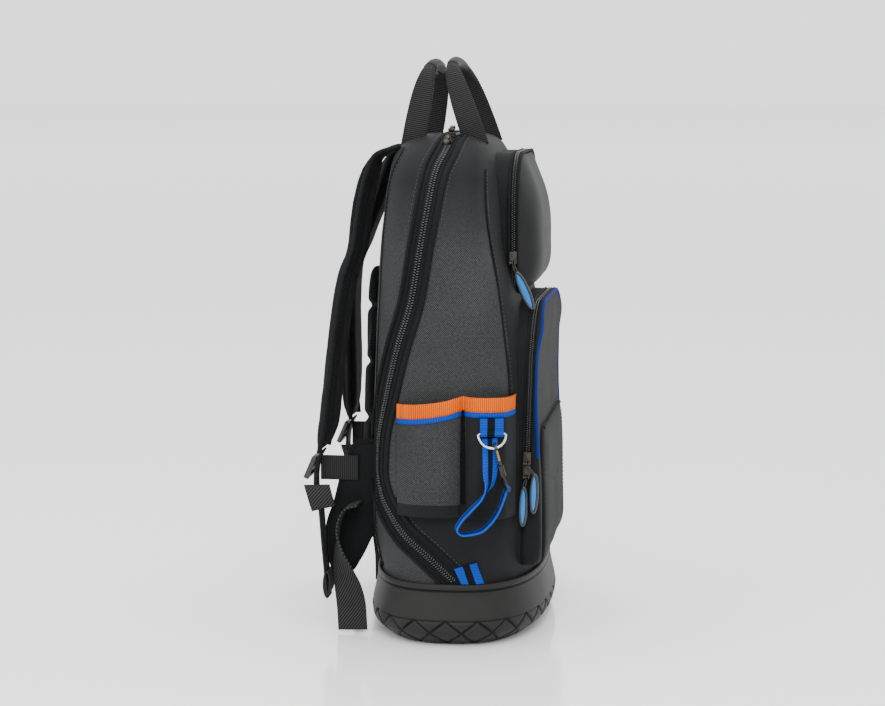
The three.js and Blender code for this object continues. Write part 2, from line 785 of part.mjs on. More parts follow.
function sidePocketProfile(row) {
  const belly = lerp(row.top, sidePocketLow, bellyDrop);
  const band = row.top - bindingHeight - trimHeight;
  const low = sidePocketLow;
  const outer = [row.top, band, belly, low + 5, low].map((z) => [z,
    wallStand(row, z) + (z === low ? sidePocketWall - 1 : sidePocketWall)]);
  const floor = [[low, gap], [low + sidePocketWall, gap]];
  const inner = [low + sidePocketWall + 1, belly, band, row.top].map((z) => [z, wallStand(row, z)]);
  return [...outer, ...floor, ...inner];
}

function bindingProfile(row) {
  const top = row.top + seamGap;
  const low = row.top - bindingHeight;
  const skin = sidePocketWall + seamGap;
  return [
    [top, wallStand(row, row.top)],
    [top, wallStand(row, row.top) + skin],
    [low, wallStand(row, low) + skin],
    [low, wallStand(row, low) + skin + bindingCloth],
    [top + bindingCloth, wallStand(row, row.top) + skin + bindingCloth],
    [top + bindingCloth, wallStand(row, row.top)],
  ];
}

function trimProfile(row) {
  const top = row.top - bindingHeight - seamGap;
  const low = top - trimHeight;
  const skin = sidePocketWall + seamGap;
  return [
    [top, wallStand(row, top) + skin],
    [low, wallStand(row, low) + skin],
    [low, wallStand(row, low) + skin + trimCloth],
    [top, wallStand(row, top) + skin + trimCloth],
  ];
}

function makeSidePockets() {
  for (const [mark, side] of [['l', -1], ['r', 1]]) {
    addPiece(`side_pocket_${mark}`, clearOfBody(sideLoft(side, sidePocketProfile)), materials.fabric);
    addPiece(`pocket_binding_${mark}`, clearOfBody(sideLoft(side, bindingProfile)), materials.orange);
    addPiece(`pocket_trim_${mark}`, clearOfBody(sideLoft(side, trimProfile)), materials.blue);
  }
}

function makeBackPad() {
  const outlineOf = (inset) => pocketOutline(padHalfWidth, padLow, padLow + padHeight, padRadius, padRadius,
    { side: inset, top: inset, bottom: inset });
  const face = (z) => -faceOf(0, z, 'back');
  const rings = [
    uprightRing(outlineOf(0), (z) => face(z) + 30),
    uprightRing(outlineOf(0), (z) => face(z) - padThickness + 4),
    uprightRing(outlineOf(4), (z) => face(z) - padThickness + 0.5),
    uprightRing(outlineOf(30), (z) => face(z) - padThickness),
  ];
  addPiece('back_pad', clearOfBody(solidOf(loft(rings))), materials.mesh);
}

function alongPath(path, i) {
  const before = path[Math.max(0, i - 1)];
  const after = path[Math.min(path.length - 1, i + 1)];
  return after.clone().sub(before).normalize();
}

function roundSection(centre, across, out, radius, sides) {
  return Array.from({ length: sides }, (_, j) => {
    const angle = 2 * Math.PI * (j + 0.5) / sides;
    return centre.clone().addScaledVector(across, radius * Math.cos(angle))
      .addScaledVector(out, radius * Math.sin(angle));
  });
}

// Band through stations { at, across, width, thick, round }
function bandSolid(stations) {
  const path = stations.map((station) => station.at);
  const rings = stations.map((station, i) => {
    const along = alongPath(path, i);
    const across = station.across.clone().addScaledVector(along, -along.dot(station.across)).normalize();
    const out = along.clone().cross(across).normalize();
    const w = station.width / 2;
    const t = station.thick / 2;
    const r = station.round ?? 0;
    const corners = r > 0
      ? [[w, t - r], [w - r, t], [r - w, t], [-w, t - r], [-w, r - t], [r - w, -t], [w - r, -t], [w, r - t]]
      : [[w, t], [-w, t], [-w, -t], [w, -t]];
    return corners.map(([a, b]) => station.at.clone().addScaledVector(across, a).addScaledVector(out, b));
  });
  return solidOf(loft(rings));
}

// Shoulder straps: drop as a share of the strap's drop, bow of its bow, spread of its spread
const strapRows = {
  l: [
    { drop: -0.01, bow: -0.3, spread: 0 },
    { drop: 0.02, bow: 0.1, spread: 0.02 },
    { drop: 0.09, bow: 0.24, spread: 0.1 },
    { drop: 0.19, bow: 0.33, spread: 0.25 },
    { drop: 0.32, bow: 0.39, spread: 0.45 },
    { drop: 0.43, bow: 0.54, spread: 0.62 },
    { drop: 0.6, bow: 0.64, spread: 0.85 },
    { drop: 0.79, bow: 0.735, spread: 0.96 },
    { drop: 0.92, bow: 0.8, spread: 1 },
    { drop: 1, bow: 0.88, spread: 1 },
  ],
  r: [
    { drop: -0.01, bow: -0.3, spread: 0 },
    { drop: 0.02, bow: 0.1, spread: 0.02 },
    { drop: 0.09, bow: 0.26, spread: 0.1 },
    { drop: 0.19, bow: 0.43, spread: 0.25 },
    { drop: 0.33, bow: 0.72, spread: 0.42 },
    { drop: 0.45, bow: 0.96, spread: 0.6 },
    { drop: 0.63, bow: 1.02, spread: 0.8 },
    { drop: 0.8, bow: 1.03, spread: 0.93 },
    { drop: 0.93, bow: 1.04, spread: 1 },
    { drop: 1, bow: 1.0, spread: 1 },
  ],
};
const acrossX = new THREE.Vector3(1, 0, 0);

function strapPoint(side, row) {
  return new THREE.Vector3(side * (strapTopHalf + row.spread * strapSpread),
    strapRoot + row.bow * strapBow, strapTop - row.drop * strapDrop);
}

function makeShoulderStrap(mark, side) {
  const rows = strapRows[mark];
  const stations = rows.map((row, i) => {
    const end = Math.min(1, i / 2, (rows.length - 1 - i) / 1.5 + 0.55);
    return {
      at: strapPoint(side, row), across: acrossX, width: strapWidth * (0.8 + 0.2 * end),
      thick: strapThickness * Math.max(0.45, end), round: 2.5,
    };
  });
  addPiece(`shoulder_strap_${mark}`, clearOfBody(bandSolid(stations)), materials.mesh);
}

// Loose webbing below each strap: drop as a share of the tail's drop, bow in strap thicknesses
const tailRows = [
  { drop: 0, bow: 0 },
  { drop: 0.1, bow: 0.5 },
  { drop: 0.24, bow: 0.6 },
  { drop: 0.38, bow: 0.25 },
  { drop: 0.6, bow: 0.05 },
  { drop: 0.8, bow: -0.15 },
  { drop: 1, bow: -0.35 },
];

function tailStart(mark, side) {
  const end = strapPoint(side, strapRows[mark][strapRows[mark].length - 1]);
  return end.add(new THREE.Vector3(0, 0, -gap - webbingThickness / 4));
}

function tailPoint(start, row) {
  return new THREE.Vector3(start.x, start.y + row.bow * strapThickness, start.z - row.drop * tailDrop);
}

function makeTail(mark, side) {
  const start = tailStart(mark, side);
  const pointOf = (row) => tailPoint(start, row);
  const stations = tailRows.map((row) => ({
    at: pointOf(row), across: acrossX, width: webbingWidth, thick: webbingThickness,
  }));
  const last = pointOf(tailRows[tailRows.length - 1]);
  const foldHeight = foldShare * tailDrop;
  const half = webbingWidth / 2;
  const fold = boxSolid([last.x - half, last.y - foldThickness / 2, last.z - foldHeight],
    [last.x + half, last.y + foldThickness / 2, last.z + 1]);
  const keeperMiddle = pointOf(rowAt(tailRows, 'drop', keeperDrop));
  const keeperEdge = keeperMiddle.x + side * half;
  const keeper = acrossSlab([
    new THREE.Vector2(keeperMiddle.y + 12, keeperMiddle.z + 11),
    new THREE.Vector2(keeperMiddle.y - 14, keeperMiddle.z + 12),
    new THREE.Vector2(keeperMiddle.y - 20, keeperMiddle.z - 10),
    new THREE.Vector2(keeperMiddle.y + 4, keeperMiddle.z - 16),
  ], Math.min(keeperEdge - side, keeperEdge + side * webbingThickness),
  Math.max(keeperEdge - side, keeperEdge + side * webbingThickness));
  addPiece(`strap_webbing_${mark}`, bandSolid(stations).add(fold).add(keeper), materials.webbing);
  makeLadderLock(mark, start, pointOf(rowAt(tailRows, 'drop', lockDrop)));
}

// Three-bar adjuster lying on the outer face of the webbing just under the strap
function makeLadderLock(mark, top, low) {
  const half = webbingWidth / 2 + lockBar;
  const lean = Math.atan2(low.y - top.y, top.z - low.z);
  const frame = new THREE.Shape([[-half, 0], [half, 0], [half, lockLength], [-half, lockLength]]
    .map(([x, y]) => new THREE.Vector2(x, y)));
  const slot = (lockLength - 3 * lockBar) / 2;
  for (const start of [lockBar, 2 * lockBar + slot]) {
    frame.holes.push(new THREE.Path([[-half + lockBar, start], [-half + lockBar, start + slot],
      [half - lockBar, start + slot], [half - lockBar, start]].map(([x, y]) => new THREE.Vector2(x, y))));
  }
  const geometry = new THREE.ExtrudeGeometry(frame, { depth: lockThickness, bevelEnabled: false });
  geometry.rotateX(Math.PI / 2);
  geometry.translate(0, 0, -lockLength / 2);
  const lock = addPiece(`ladder_lock_${mark}`, geometry, materials.nylon);
  const skin = (webbingThickness / 2 + gap + lockThickness) / Math.cos(lean);
  lock.position.set(low.x, low.y + skin, low.z);
  lock.rotation.x = lean;
}

// Hip wing outline in (back, high): back as a share of the wing's reach behind the
// body, high as a share of the wing's height
const wingOutline = [
  { back: -0.5, high: 1 },
  { back: 0.25, high: 0.985 },
  { back: 0.6, high: 0.78 },
  { back: 0.8, high: 0.55 },
  { back: 1, high: 0.34 },
  { back: 0.98, high: 0.16 },
  { back: 0.75, high: 0.02 },
  { back: 0.5, high: 0.03 },
  { back: 0.25, high: 0.13 },
  { back: -0.1, high: 0.33 },
  { back: -0.5, high: 0.45 },
];

function wingPoint(row) {
  return new THREE.Vector2(bodyHalfDepth * 1.03 + row.back * wingReach, wingLow + row.high * wingHeight);
}

function makeWing(mark, side) {
  const near = side * wingOffset - wingThickness / 2;
  const wing = clearOfBody(acrossSlab(wingOutline.map(wingPoint), near, near + wingThickness));
  addPiece(`hip_wing_${mark}`, wing, materials.fabric);
}

// Short webbing from the wing's face to the webbing below the shoulder strap
function makeAnchor(mark, side) {
  const face = side * (wingOffset + wingThickness / 2 + gap + webbingThickness / 2);
  const level = wingLow + anchorHigh * wingHeight;
  const start = tailStart(mark, side);
  const meet = tailPoint(start, rowAt(tailRows, 'drop', (start.z - level - webbingWidth / 2) / tailDrop));
  const root = new THREE.Vector3(face, bodyHalfDepth + 0.3 * wingReach, level);
  const tip = new THREE.Vector3(face, meet.y - 0.55 * webbingThickness - gap, level);
  const stations = [0, 0.3, 0.65, 1].map((t) => ({
    at: root.clone().lerp(tip, t), across: new THREE.Vector3(0, 0, 1),
    width: webbingWidth, thick: webbingThickness,
  }));
  addPiece(`anchor_webbing_${mark}`, bandSolid(stations), materials.webbing);
}

// Waist webbing: back in wing reaches, high in wing heights, out in webbing widths
// from the wing's face, twist as a share of a quarter turn
const waistRows = [
  { back: 0.2, high: 0.56, out: 0.52, twist: 0 },
  { back: 0.5, high: 0.53, out: 0.52, twist: 0 },
  { back: 0.67, high: 0.45, out: 0.52, twist: 0 },
  { back: 0.74, high: 0.34, out: 0.52, twist: 0.05 },
  { back: 0.72, high: 0.22, out: 0.52, twist: 0.25 },
  { back: 0.64, high: 0.08, out: 0.48, twist: 0.55 },
  { back: 0.52, high: -0.08, out: 0.36, twist: 0.85 },
  { back: 0.46, high: -0.22, out: 0.24, twist: 1 },
  { back: 0.44, high: -0.4, out: 0.14, twist: 1 },
];

function makeWaist(mark, side) {
  const face = wingOffset + wingThickness / 2;
  const stations = waistRows.map((row) => {
    const turn = row.twist * Math.PI / 2;
    return {
      at: new THREE.Vector3(side * (face + gap + row.out * waistWidth),
        bodyHalfDepth + row.back * wingReach, wingLow + row.high * wingHeight),
      across: new THREE.Vector3(Math.cos(turn), side * -Math.sin(turn), 0),
      width: waistWidth, thick: webbingThickness,
    };
  });
  addPiece(`waist_webbing_${mark}`, bandSolid(stations), materials.webbing);
}

// Carry handles: span and rise as shares, roll from flat webbing to round grip
const handleRows = [
  { span: 1, rise: 0, roll: 0 },
  { span: 0.985, rise: 0.12, roll: 0 },
  { span: 0.95, rise: 0.42, roll: 0.1 },
  { span: 0.88, rise: 0.68, roll: 0.35 },
  { span: 0.76, rise: 0.86, roll: 0.75 },
  { span: 0.56, rise: 0.95, roll: 1 },
  { span: 0.3, rise: 0.985, roll: 1 },
  { span: 0, rise: 1, roll: 1 },
];

function makeHandle(name, footY, topY, rise) {
  const far = handleRows.slice(0, -1).reverse().map((row) => ({ ...row, span: -row.span }));
  const rows = [...handleRows, ...far];
  const lowest = bodyTop + gap;
  const reach = rise - handleGrip / 2;
  const stations = rows.map((row) => ({
    at: new THREE.Vector3(row.span * handleHalfSpan, lerp(footY, topY, row.rise),
      lowest + row.rise * reach),
    across: new THREE.Vector3(0, 1, 0),
    width: lerp(handleWebWidth, handleGrip, row.roll),
    thick: lerp(handleWebThickness, handleGrip, row.roll),
    round: lerp(0.6, handleGrip * 0.29, row.roll),
  }));
  addPiece(name, clearOfBody(bandSolid(stations)), materials.webbing);
}

// Slider with two ears and a pin, in its own frame: x along the pin, y down the zip, z out
function makeSlider(name, place) {
  const halfWidth = sliderWidth / 2;
  const halfLength = sliderLength / 2;
  const plate = boxSolid([-halfWidth, -halfLength, 0], [halfWidth, halfLength, sliderHeight]);
  let solid = plate;
  for (const side of [-1, 1]) {
    const near = side * (eyeWidth / 2 + gap);
    const far = near + side * 1.2;
    solid = solid.add(boxSolid([Math.min(near, far), pinAlong - 2, sliderHeight - 0.5],
      [Math.max(near, far), pinAlong + 1.2, pinHigh + 1.4]));
  }
  const reach = eyeWidth / 2 + gap + 1;
  const pin = rodSolid(pinRadius, new THREE.Vector3(-reach, pinAlong, pinHigh),
    new THREE.Vector3(reach, pinAlong, pinHigh), 8);
  addPiece(name, solid.add(pin), materials.darkSteel, place);
}

// Pull on the pin: an eye, then a flat oval that can lean sideways in its own plane
function makePull(name, place, lean, length, width, shift, material) {
  const hole = pinRadius + pinClearance;
  const eye = rodSolid(hole + 1.2, new THREE.Vector3(-eyeWidth / 2, 0, 0),
    new THREE.Vector3(eyeWidth / 2, 0, 0), 10);
  const bore = rodSolid(hole, new THREE.Vector3(-eyeWidth, 0, 0), new THREE.Vector3(eyeWidth, 0, 0), 10);
  const neckStart = hole + 0.6;
  const neck = Math.max(5, length * 0.18);
  const outline = new THREE.Shape();
  const ovalLength = length - neck;
  outline.absellipse(shift, neck + ovalLength / 2, width / 2, ovalLength / 2, 0, 2 * Math.PI);
  const oval = new THREE.ExtrudeGeometry(outline, { depth: tagThickness, bevelEnabled: false, curveSegments: 6 });
  oval.translate(0, 0, -tagThickness / 2);
  const strip = new THREE.Shape([[-1.2, neckStart], [1.2, neckStart], [shift + 1.4, neck + 3],
    [shift - 1.4, neck + 3]].map(([x, y]) => new THREE.Vector2(x, y)));
  const link = new THREE.ExtrudeGeometry(strip, { depth: 2, bevelEnabled: false });
  link.translate(0, 0, -1);
  const tilt = new THREE.Matrix4().makeRotationZ(lean);
  const body = solidOf(oval.applyMatrix4(tilt)).add(solidOf(link.applyMatrix4(tilt))).add(eye).subtract(bore);
  const pull = addPiece(name, body, material, place);
  pull.position.set(0, pinAlong, pinHigh);
}

// Frame of a slider from its point on the zipper, the way down the zip and the way out
function sliderPlace(at, down, out) {
  const place = new THREE.Group();
  const y = down.clone().normalize();
  const z = out.clone().addScaledVector(y, -out.dot(y)).normalize();
  const x = y.clone().cross(z);
  place.quaternion.setFromRotationMatrix(new THREE.Matrix4().makeBasis(x, y, z));
  place.position.copy(at).addScaledVector(z, gap);
  backpack.add(place);
  return place;
}

function makePulls() {
  const down = new THREE.Vector3(0, 0, -1);
  const left = new THREE.Vector3(-1, 0, 0);
  const upper = sliderPlace(new THREE.Vector3(-upperHalfWidth - coilRise, -upperZipPlane,
    upperLow + upperSliderRise * upperHeight), down, left);
  makeSlider('upper_pocket_slider', upper);
  makePull('upper_pocket_pull', upper, upperPullLean, upperPullLength, tagWidth, 0, materials.tag);
  const low = lowerZipEnd + sliderLength * 0.7;
  const lowDown = new THREE.Vector3(0, lowerZipLean, -1);
  const pairs = [
    { mark: 'a', high: low + sliderLength + 1.5, shift: -8.5 },
    { mark: 'b', high: low, shift: 1.8 },
  ];
  for (const { mark, high, shift } of pairs) {
    const place = sliderPlace(new THREE.Vector3(-lowerHalfWidth - coilRise, -lowerZipDepth(high), high),
      lowDown, left);
    makeSlider(`lower_pocket_slider_${mark}`, place);
    makePull(`lower_pocket_pull_${mark}`, place, 0, lowerPullLength, lowerPullWidth, shift, materials.tag);
  }
  const steps = [
    { mark: 'a', wide: 0.64, toward: -1 },
    { mark: 'b', wide: 0.55, toward: 1 },
  ];
  for (const { mark, wide, toward } of steps) {
    const place = topPlace(wide, toward);
    makeSlider(`main_zip_slider_${mark}`, place);
    makePull(`main_zip_pull_${mark}`, place, 0, tabLength, tabPullWidth, 0, materials.darkSteel);
  }
}

// Frame on the shoulder of the body where its half width is a share of the widest
function topPlace(wide, toward) {
  const upper = bodyRows.slice(-6);
  const i = upper.findIndex((row) => row.wide <= wide);
  const low = upper[i - 1];
  const high = upper[i];
  const rise = lerp(low.rise, high.rise, (wide - low.wide) / (high.wide - low.wide));
  const lowZ = lerp(bodySeat, bodyTop, low.rise);
  const highZ = lerp(bodySeat, bodyTop, high.rise);
  const slope = new THREE.Vector3(-(high.wide - low.wide) * bodyHalfWidth, 0, highZ - lowZ).normalize();
  const out = new THREE.Vector3(-slope.z, 0, slope.x);
  const z = lerp(bodySeat, bodyTop, rise);
  const y = rowAt([...zipRows].reverse(), 'rise', rise).reach * bodyHalfDepth;
  const at = new THREE.Vector3(-wide * bodyHalfWidth, y, z).addScaledVector(out, coilRise + gap);
  return sliderPlace(at, slope.multiplyScalar(toward), out);
}

// Tether hardware hangs in a frame on the wall of the front cell: x outward from the
// wall, y toward the pockets, z up
const tabTop = sidePocketTop + sidePocketRise - bindingHeight - trimHeight - 2 * seamGap;

function wallX(y, z) {
  const row = sideRow((sidePocketBack - y) / sidePocketLength);
  return sideOf(y, z, wallStand(row, z) + sidePocketWall);
}

function makeTether() {
  const half = tabWidth / 2;
  const tetherY = -tetherRun;
  const heights = [tabTop, tabTop - tabDrop, tabTop - 60];
  const edge = (y) => Math.max(...heights.map((z) => wallX(y, z)));
  const slant = Math.atan2(edge(tetherY + half) - edge(tetherY - half), tabWidth);
  const frame = new THREE.Group();
  const reach = [-half, 0, half].map((u) => edge(tetherY + u) - u * Math.tan(slant));
  frame.position.set(-Math.max(...reach), tetherY, 0);
  frame.rotation.z = Math.PI + slant;
  backpack.add(frame);

  const loopRadius = ringWire + gap + 1.4;
  const barOut = gap + loopRadius;
  const barHigh = tabTop - tabDrop;
  const side = (y) => new THREE.Vector3(barOut, y, barHigh);
  const tab = boxSolid([gap, -half, barHigh], [gap + tabCloth, half, tabTop])
    .add(rodSolid(loopRadius, side(-half), side(half), 10))
    .subtract(rodSolid(ringWire + gap, side(-tabWidth), side(tabWidth), 10));
  addPiece('tether_tab', tab, materials.blue, frame);
  const ring = addPiece('d_ring', makeRing(), materials.steel, frame);
  ring.position.set(barOut, 0, barHigh);
  ring.rotation.y = -(ringTilt + Math.PI / 2);
  const low = ringRadius + 1;
  makeHook(frame, new THREE.Vector3(barOut + low * Math.sin(ringTilt), 3, barHigh - low * Math.cos(ringTilt)));
}

// D ring in its own frame: bar along y, bow towards -x
function makeRing() {
  const points = [];
  const arcSteps = 10;
  for (let i = 0; i <= arcSteps; i += 1) {
    const angle = Math.PI * i / arcSteps;
    points.push(new THREE.Vector3(-1 - ringRadius * Math.sin(angle), ringRadius * Math.cos(angle), 0));
  }
  points.push(new THREE.Vector3(0, -ringRadius + 1.2, 0), new THREE.Vector3(0, 0, 0),
    new THREE.Vector3(0, ringRadius - 1.2, 0));
  const up = new THREE.Vector3(0, 0, 1);
  const rings = points.map((point, i) => {
    const before = points[(i + points.length - 1) % points.length];
    const after = points[(i + 1) % points.length];
    const along = after.clone().sub(before).normalize();
    return roundSection(point, up.clone().cross(along).normalize(), up, ringWire, 6);
  });
  return loft(rings, { closed: true });
}

// Snap hook in its own frame: x outward, z up, its slot round the ring's bow at the origin
function stadium(halfWidth, low, high) {
  const shape = new THREE.Shape();
  shape.absarc(0, high - halfWidth, halfWidth, 0, Math.PI);
  shape.absarc(0, low + halfWidth, halfWidth, Math.PI, 2 * Math.PI);
  return shape;
}

function makeHook(frame, at) {
  const hook = new THREE.Group();
  hook.position.copy(at);
  hook.rotation.x = hookLean;
  frame.add(hook);
  const slotHalf = hookSlot / 2;
  const outerHalf = slotHalf + hookWire;
  const high = ringWire + gap + 1 + hookWire;
  const low = high - hookLength;
  const outline = stadium(outerHalf, low, high);
  outline.holes.push(stadium(slotHalf, low + hookWire, high - hookWire));
  const loop = new THREE.ExtrudeGeometry(outline, { depth: hookWire, bevelEnabled: false, curveSegments: 4 });
  loop.rotateX(Math.PI / 2);
  loop.translate(0, hookWire / 2, 0);
  const middle = (high + low) / 2;
  const gateLow = middle - gateLength / 2;
  const gateHigh = middle + gateLength / 2;
  const cut = boxSolid([slotHalf - 1, -hookWire, gateLow - gap], [outerHalf + 1, hookWire, gateHigh + gap]);
  const eyeTop = low - swivelLength;
  const eyeLow = eyeTop - eyeLength;
  const barrel = rodSolid(3.2, new THREE.Vector3(0, 0, eyeTop - 1), new THREE.Vector3(0, 0, low + 1.5), 8);
  const eyeHalf = tetherWidth / 2 + ringWire + 2 * gap;
  const eyeBend = eyeLow + 0.42 * eyeLength;
  const eyePath = [[-eyeHalf, eyeLow], [eyeHalf, eyeLow], [eyeHalf, eyeBend], [3, eyeTop - 0.5],
    [-3, eyeTop - 0.5], [-eyeHalf, eyeBend]].map(([x, z]) => new THREE.Vector3(x, 0, z));
  let solid = solidOf(loop).subtract(cut).add(barrel);
  eyePath.forEach((point, i) => {
    const next = eyePath[(i + 1) % eyePath.length];
    const along = next.clone().sub(point).normalize();
    const from = point.clone().addScaledVector(along, -1);
    const to = next.clone().addScaledVector(along, 1);
    solid = solid.add(rodSolid(ringWire, from, to, 6));
  });
  addPiece('snap_hook', solid, materials.darkSteel, hook);
  const gate = addPiece('hook_gate', new THREE.BoxGeometry(gateThickness, gateThickness, gateLength),
    materials.darkSteel, hook);
  gate.position.set(outerHalf - hookWire / 2, 0, middle);
  makeTetherStrap(frame, hook, eyeLow);
}

// Tether strap in the tab's frame: run towards the back and high in millimetres from the
// eye of the hook, flat where face is 1 and turned edge-on to the wall where it is 0
const tetherRows = [
  { run: 15.5, high: 48, turn: 0 },
  { run: 15, high: 34, turn: 0 },
  { run: 15, high: 20, turn: 0.05 },
  { run: 16.5, high: 6, turn: 0.45 },
  { run: 23, high: -8, turn: 0.9 },
  { run: 35, high: -21, turn: 1 },
  { run: 45, high: -32, turn: 1 },
  { run: 49, high: -40, turn: 1 },
  { run: 43, high: -45, turn: 1 },
  { run: 28, high: -43, turn: 1 },
  { run: 15, high: -33, turn: 1 },
  { run: 6, high: -18, turn: 1 },
  { run: 0.8, high: -2.4, turn: 1 },
];

function makeTetherStrap(frame, hook, eyeLow) {
  frame.updateMatrixWorld(true);
  const eye = frame.worldToLocal(hook.localToWorld(new THREE.Vector3(0, 0, eyeLow)));
  const loopRadius = ringWire + gap + 1.6;
  const stations = tetherRows.map((row) => {
    const turn = row.turn * Math.PI / 2;
    const out = gap + tetherCloth / 2 + Math.sin(turn) * (eye.x - gap - tetherCloth / 2);
    return {
      at: new THREE.Vector3(out, eye.y - row.run, eye.z + row.high),
      across: new THREE.Vector3(Math.sin(turn), -Math.cos(turn), 0),
      width: tetherWidth, thick: tetherCloth,
    };
  });
  const half = tetherWidth / 2;
  const rod = (radius, reach) => rodSolid(radius, new THREE.Vector3(eye.x - reach, eye.y, eye.z),
    new THREE.Vector3(eye.x + reach, eye.y, eye.z), 12);
  const strap = bandSolid(stations).add(rod(loopRadius, half)).subtract(rod(ringWire + gap, tetherWidth));
  addPiece('tether_strap', strap, materials.blue, frame);
}

// Striped tab that comes out of the seam between the tub and the body
function makeRimTab() {
  const low = baseHeight + seamGap;
  const near = rimTabMiddle - rimTabWidth / 2;
  const far = rimTabMiddle + rimTabWidth / 2;
  const outline = [[near, low], [far, low], [far + rimTabLean, low + rimTabHeight * 0.72],
    [near + rimTabLean, low + rimTabHeight]].map(([y, z]) => new THREE.Vector2(y, z));
  const skin = bodySolid(gap + 2).subtract(nearBody);
  addPiece('base_tab', skin.intersect(acrossSlab(outline, -2 * baseHalfWidth, 0)), materials.blue);
}

addPiece('base_tub', makeTub(), materials.rubber);
makeBody();
makeUpperPocket();
makeLowerPocket();
makePatchPocket();
makeSidePockets();
makeBackPad();
for (const [mark, side] of [['l', -1], ['r', 1]]) {
  makeShoulderStrap(mark, side);
  makeTail(mark, side);
  makeWing(mark, side);
  makeAnchor(mark, side);
  makeWaist(mark, side);
}
makeHandle('handle_back', backHandleFoot, backHandleTop, handleRise - 1);
makeHandle('handle_front', frontHandleFoot, frontHandleTop, handleRise + 1);
makePulls();
makeTether();
makeRimTab();

export default backpack;
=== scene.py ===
from math import asin, atan2, cos, pi, radians, sin
import bmesh
import bpy
import numpy as np
from mathutils import Matrix, Vector, noise


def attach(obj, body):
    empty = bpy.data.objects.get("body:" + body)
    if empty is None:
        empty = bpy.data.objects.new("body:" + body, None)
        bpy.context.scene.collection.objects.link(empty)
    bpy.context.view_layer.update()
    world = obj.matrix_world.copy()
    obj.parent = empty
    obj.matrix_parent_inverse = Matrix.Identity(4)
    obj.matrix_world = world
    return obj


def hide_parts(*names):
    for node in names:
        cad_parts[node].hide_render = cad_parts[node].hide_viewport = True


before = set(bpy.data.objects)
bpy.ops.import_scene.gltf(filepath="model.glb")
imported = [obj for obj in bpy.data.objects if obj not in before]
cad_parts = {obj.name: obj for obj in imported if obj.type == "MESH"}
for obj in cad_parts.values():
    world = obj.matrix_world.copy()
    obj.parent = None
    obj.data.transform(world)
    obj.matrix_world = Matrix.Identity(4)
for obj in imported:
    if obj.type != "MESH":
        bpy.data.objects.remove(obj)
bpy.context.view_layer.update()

# Tool backpack on a moulded rubber tub. Sizes here are in millimetres and become metres
# when a mesh is made; +Z up, the pockets face -Y, the wearer's left is -X.
print("frame loaded")

camera = dict(place=(-2.3668, -0.2906, 0.5617), pitch=83.0853, yaw=-82.4006, lens=93.56)
cameraData = bpy.data.cameras.new("camera")
cameraData.lens = camera["lens"]
cameraData.sensor_width = 36
cameraObject = bpy.data.objects.new("camera", cameraData)
cameraObject.location = camera["place"]
cameraObject.rotation_euler = (radians(camera["pitch"]), 0, radians(camera["yaw"]))
bpy.context.scene.collection.objects.link(cameraObject)
bpy.context.scene.camera = cameraObject


# Small tools

def linear(hexColour):
    channels = [int(hexColour[i:i + 2], 16) / 255 for i in (1, 3, 5)]
    return tuple(c / 12.92 if c <= 0.04045 else ((c + 0.055) / 1.055) ** 2.4 for c in channels) + (1.0,)


def addNode(tree, kind, settings=None, inputs=None, out=0):
    node = tree.nodes.new(kind)
    for name, value in (settings or {}).items():
        setattr(node, name, value)
    for name, value in (inputs or {}).items():
        if isinstance(value, bpy.types.NodeSocket):
            tree.links.new(value, node.inputs[name])
        else:
            node.inputs[name].default_value = value
    return node.outputs[out] if len(node.outputs) else node


def smoothLine(xs, ys):  # a smooth line through the points that never overshoots them
    xs, ys = np.array(xs, float), np.array(ys, float)
    step = np.diff(xs)
    slope = np.diff(ys) / step
    lean = np.zeros(len(xs))
    lean[0], lean[-1] = slope[0], slope[-1]
    for i in range(1, len(xs) - 1):
        if slope[i - 1] * slope[i] > 0:
            lean[i] = 2 * slope[i - 1] * slope[i] / (slope[i - 1] + slope[i])

    def at(x):
        x = np.clip(x, xs[0], xs[-1])
        i = np.clip(np.searchsorted(xs, x) - 1, 0, len(step) - 1)
        t = (x - xs[i]) / step[i]
        near = ys[i] * (1 + 2 * t) * (1 - t) ** 2 + lean[i] * step[i] * t * (1 - t) ** 2
        return near + ys[i + 1] * t * t * (3 - 2 * t) + lean[i + 1] * step[i] * t * t * (t - 1)
    return at


def runAlong(path):  # the length run up to each point of a path
    return np.concatenate([[0], np.cumsum(np.linalg.norm(np.diff(path, axis=0), axis=1))])


def placeAt(path, run, length):
    return np.array([np.interp(length, run, path[:, k]) for k in range(3)])


def smoothPath(points, count):  # points spread evenly on a smooth curve through the given ones
    points = np.array(points, float)
    run = runAlong(points)
    fine = np.linspace(0, run[-1], count * 8)
    curve = np.stack([smoothLine(run, points[:, k])(fine) for k in range(points.shape[1])], axis=1)
    length = runAlong(curve[:, :3])
    even = np.linspace(0, length[-1], count)
    return np.stack([np.interp(even, length, curve[:, k]) for k in range(points.shape[1])], axis=1)


def around(count):
    return np.linspace(0, 2 * pi, count, endpoint=False)


def bell(value):  # 1 at 0, nearly 0 at 2
    return float(np.exp(-value * value))


def unit(v):
    v = np.array(v, float)
    return v / max(1e-12, np.linalg.norm(v))


def newObject(name, mesh):
    piece = bpy.data.objects.new(name, mesh)
    bpy.context.scene.collection.objects.link(piece)
    return piece


def meshOf(name, points, faces, uvs):
    mesh = bpy.data.meshes.new(name)
    mesh.from_pydata([tuple(p) for p in np.array(points, float) * 0.001], [], faces)
    layer = mesh.uv_layers.new(name="cloth")
    layer.data.foreach_set("uv", [c for face in uvs for uv in face for c in uv])
    mesh.polygons.foreach_set("use_smooth", [True] * len(mesh.polygons))
    mesh.update()
    middle = Vector(np.mean(np.array(points, float), axis=0) * 0.001)
    outward = sum(f.area * f.normal.dot(f.center - middle) for f in mesh.polygons)
    if outward < 0:
        mesh.flip_normals()
    return mesh


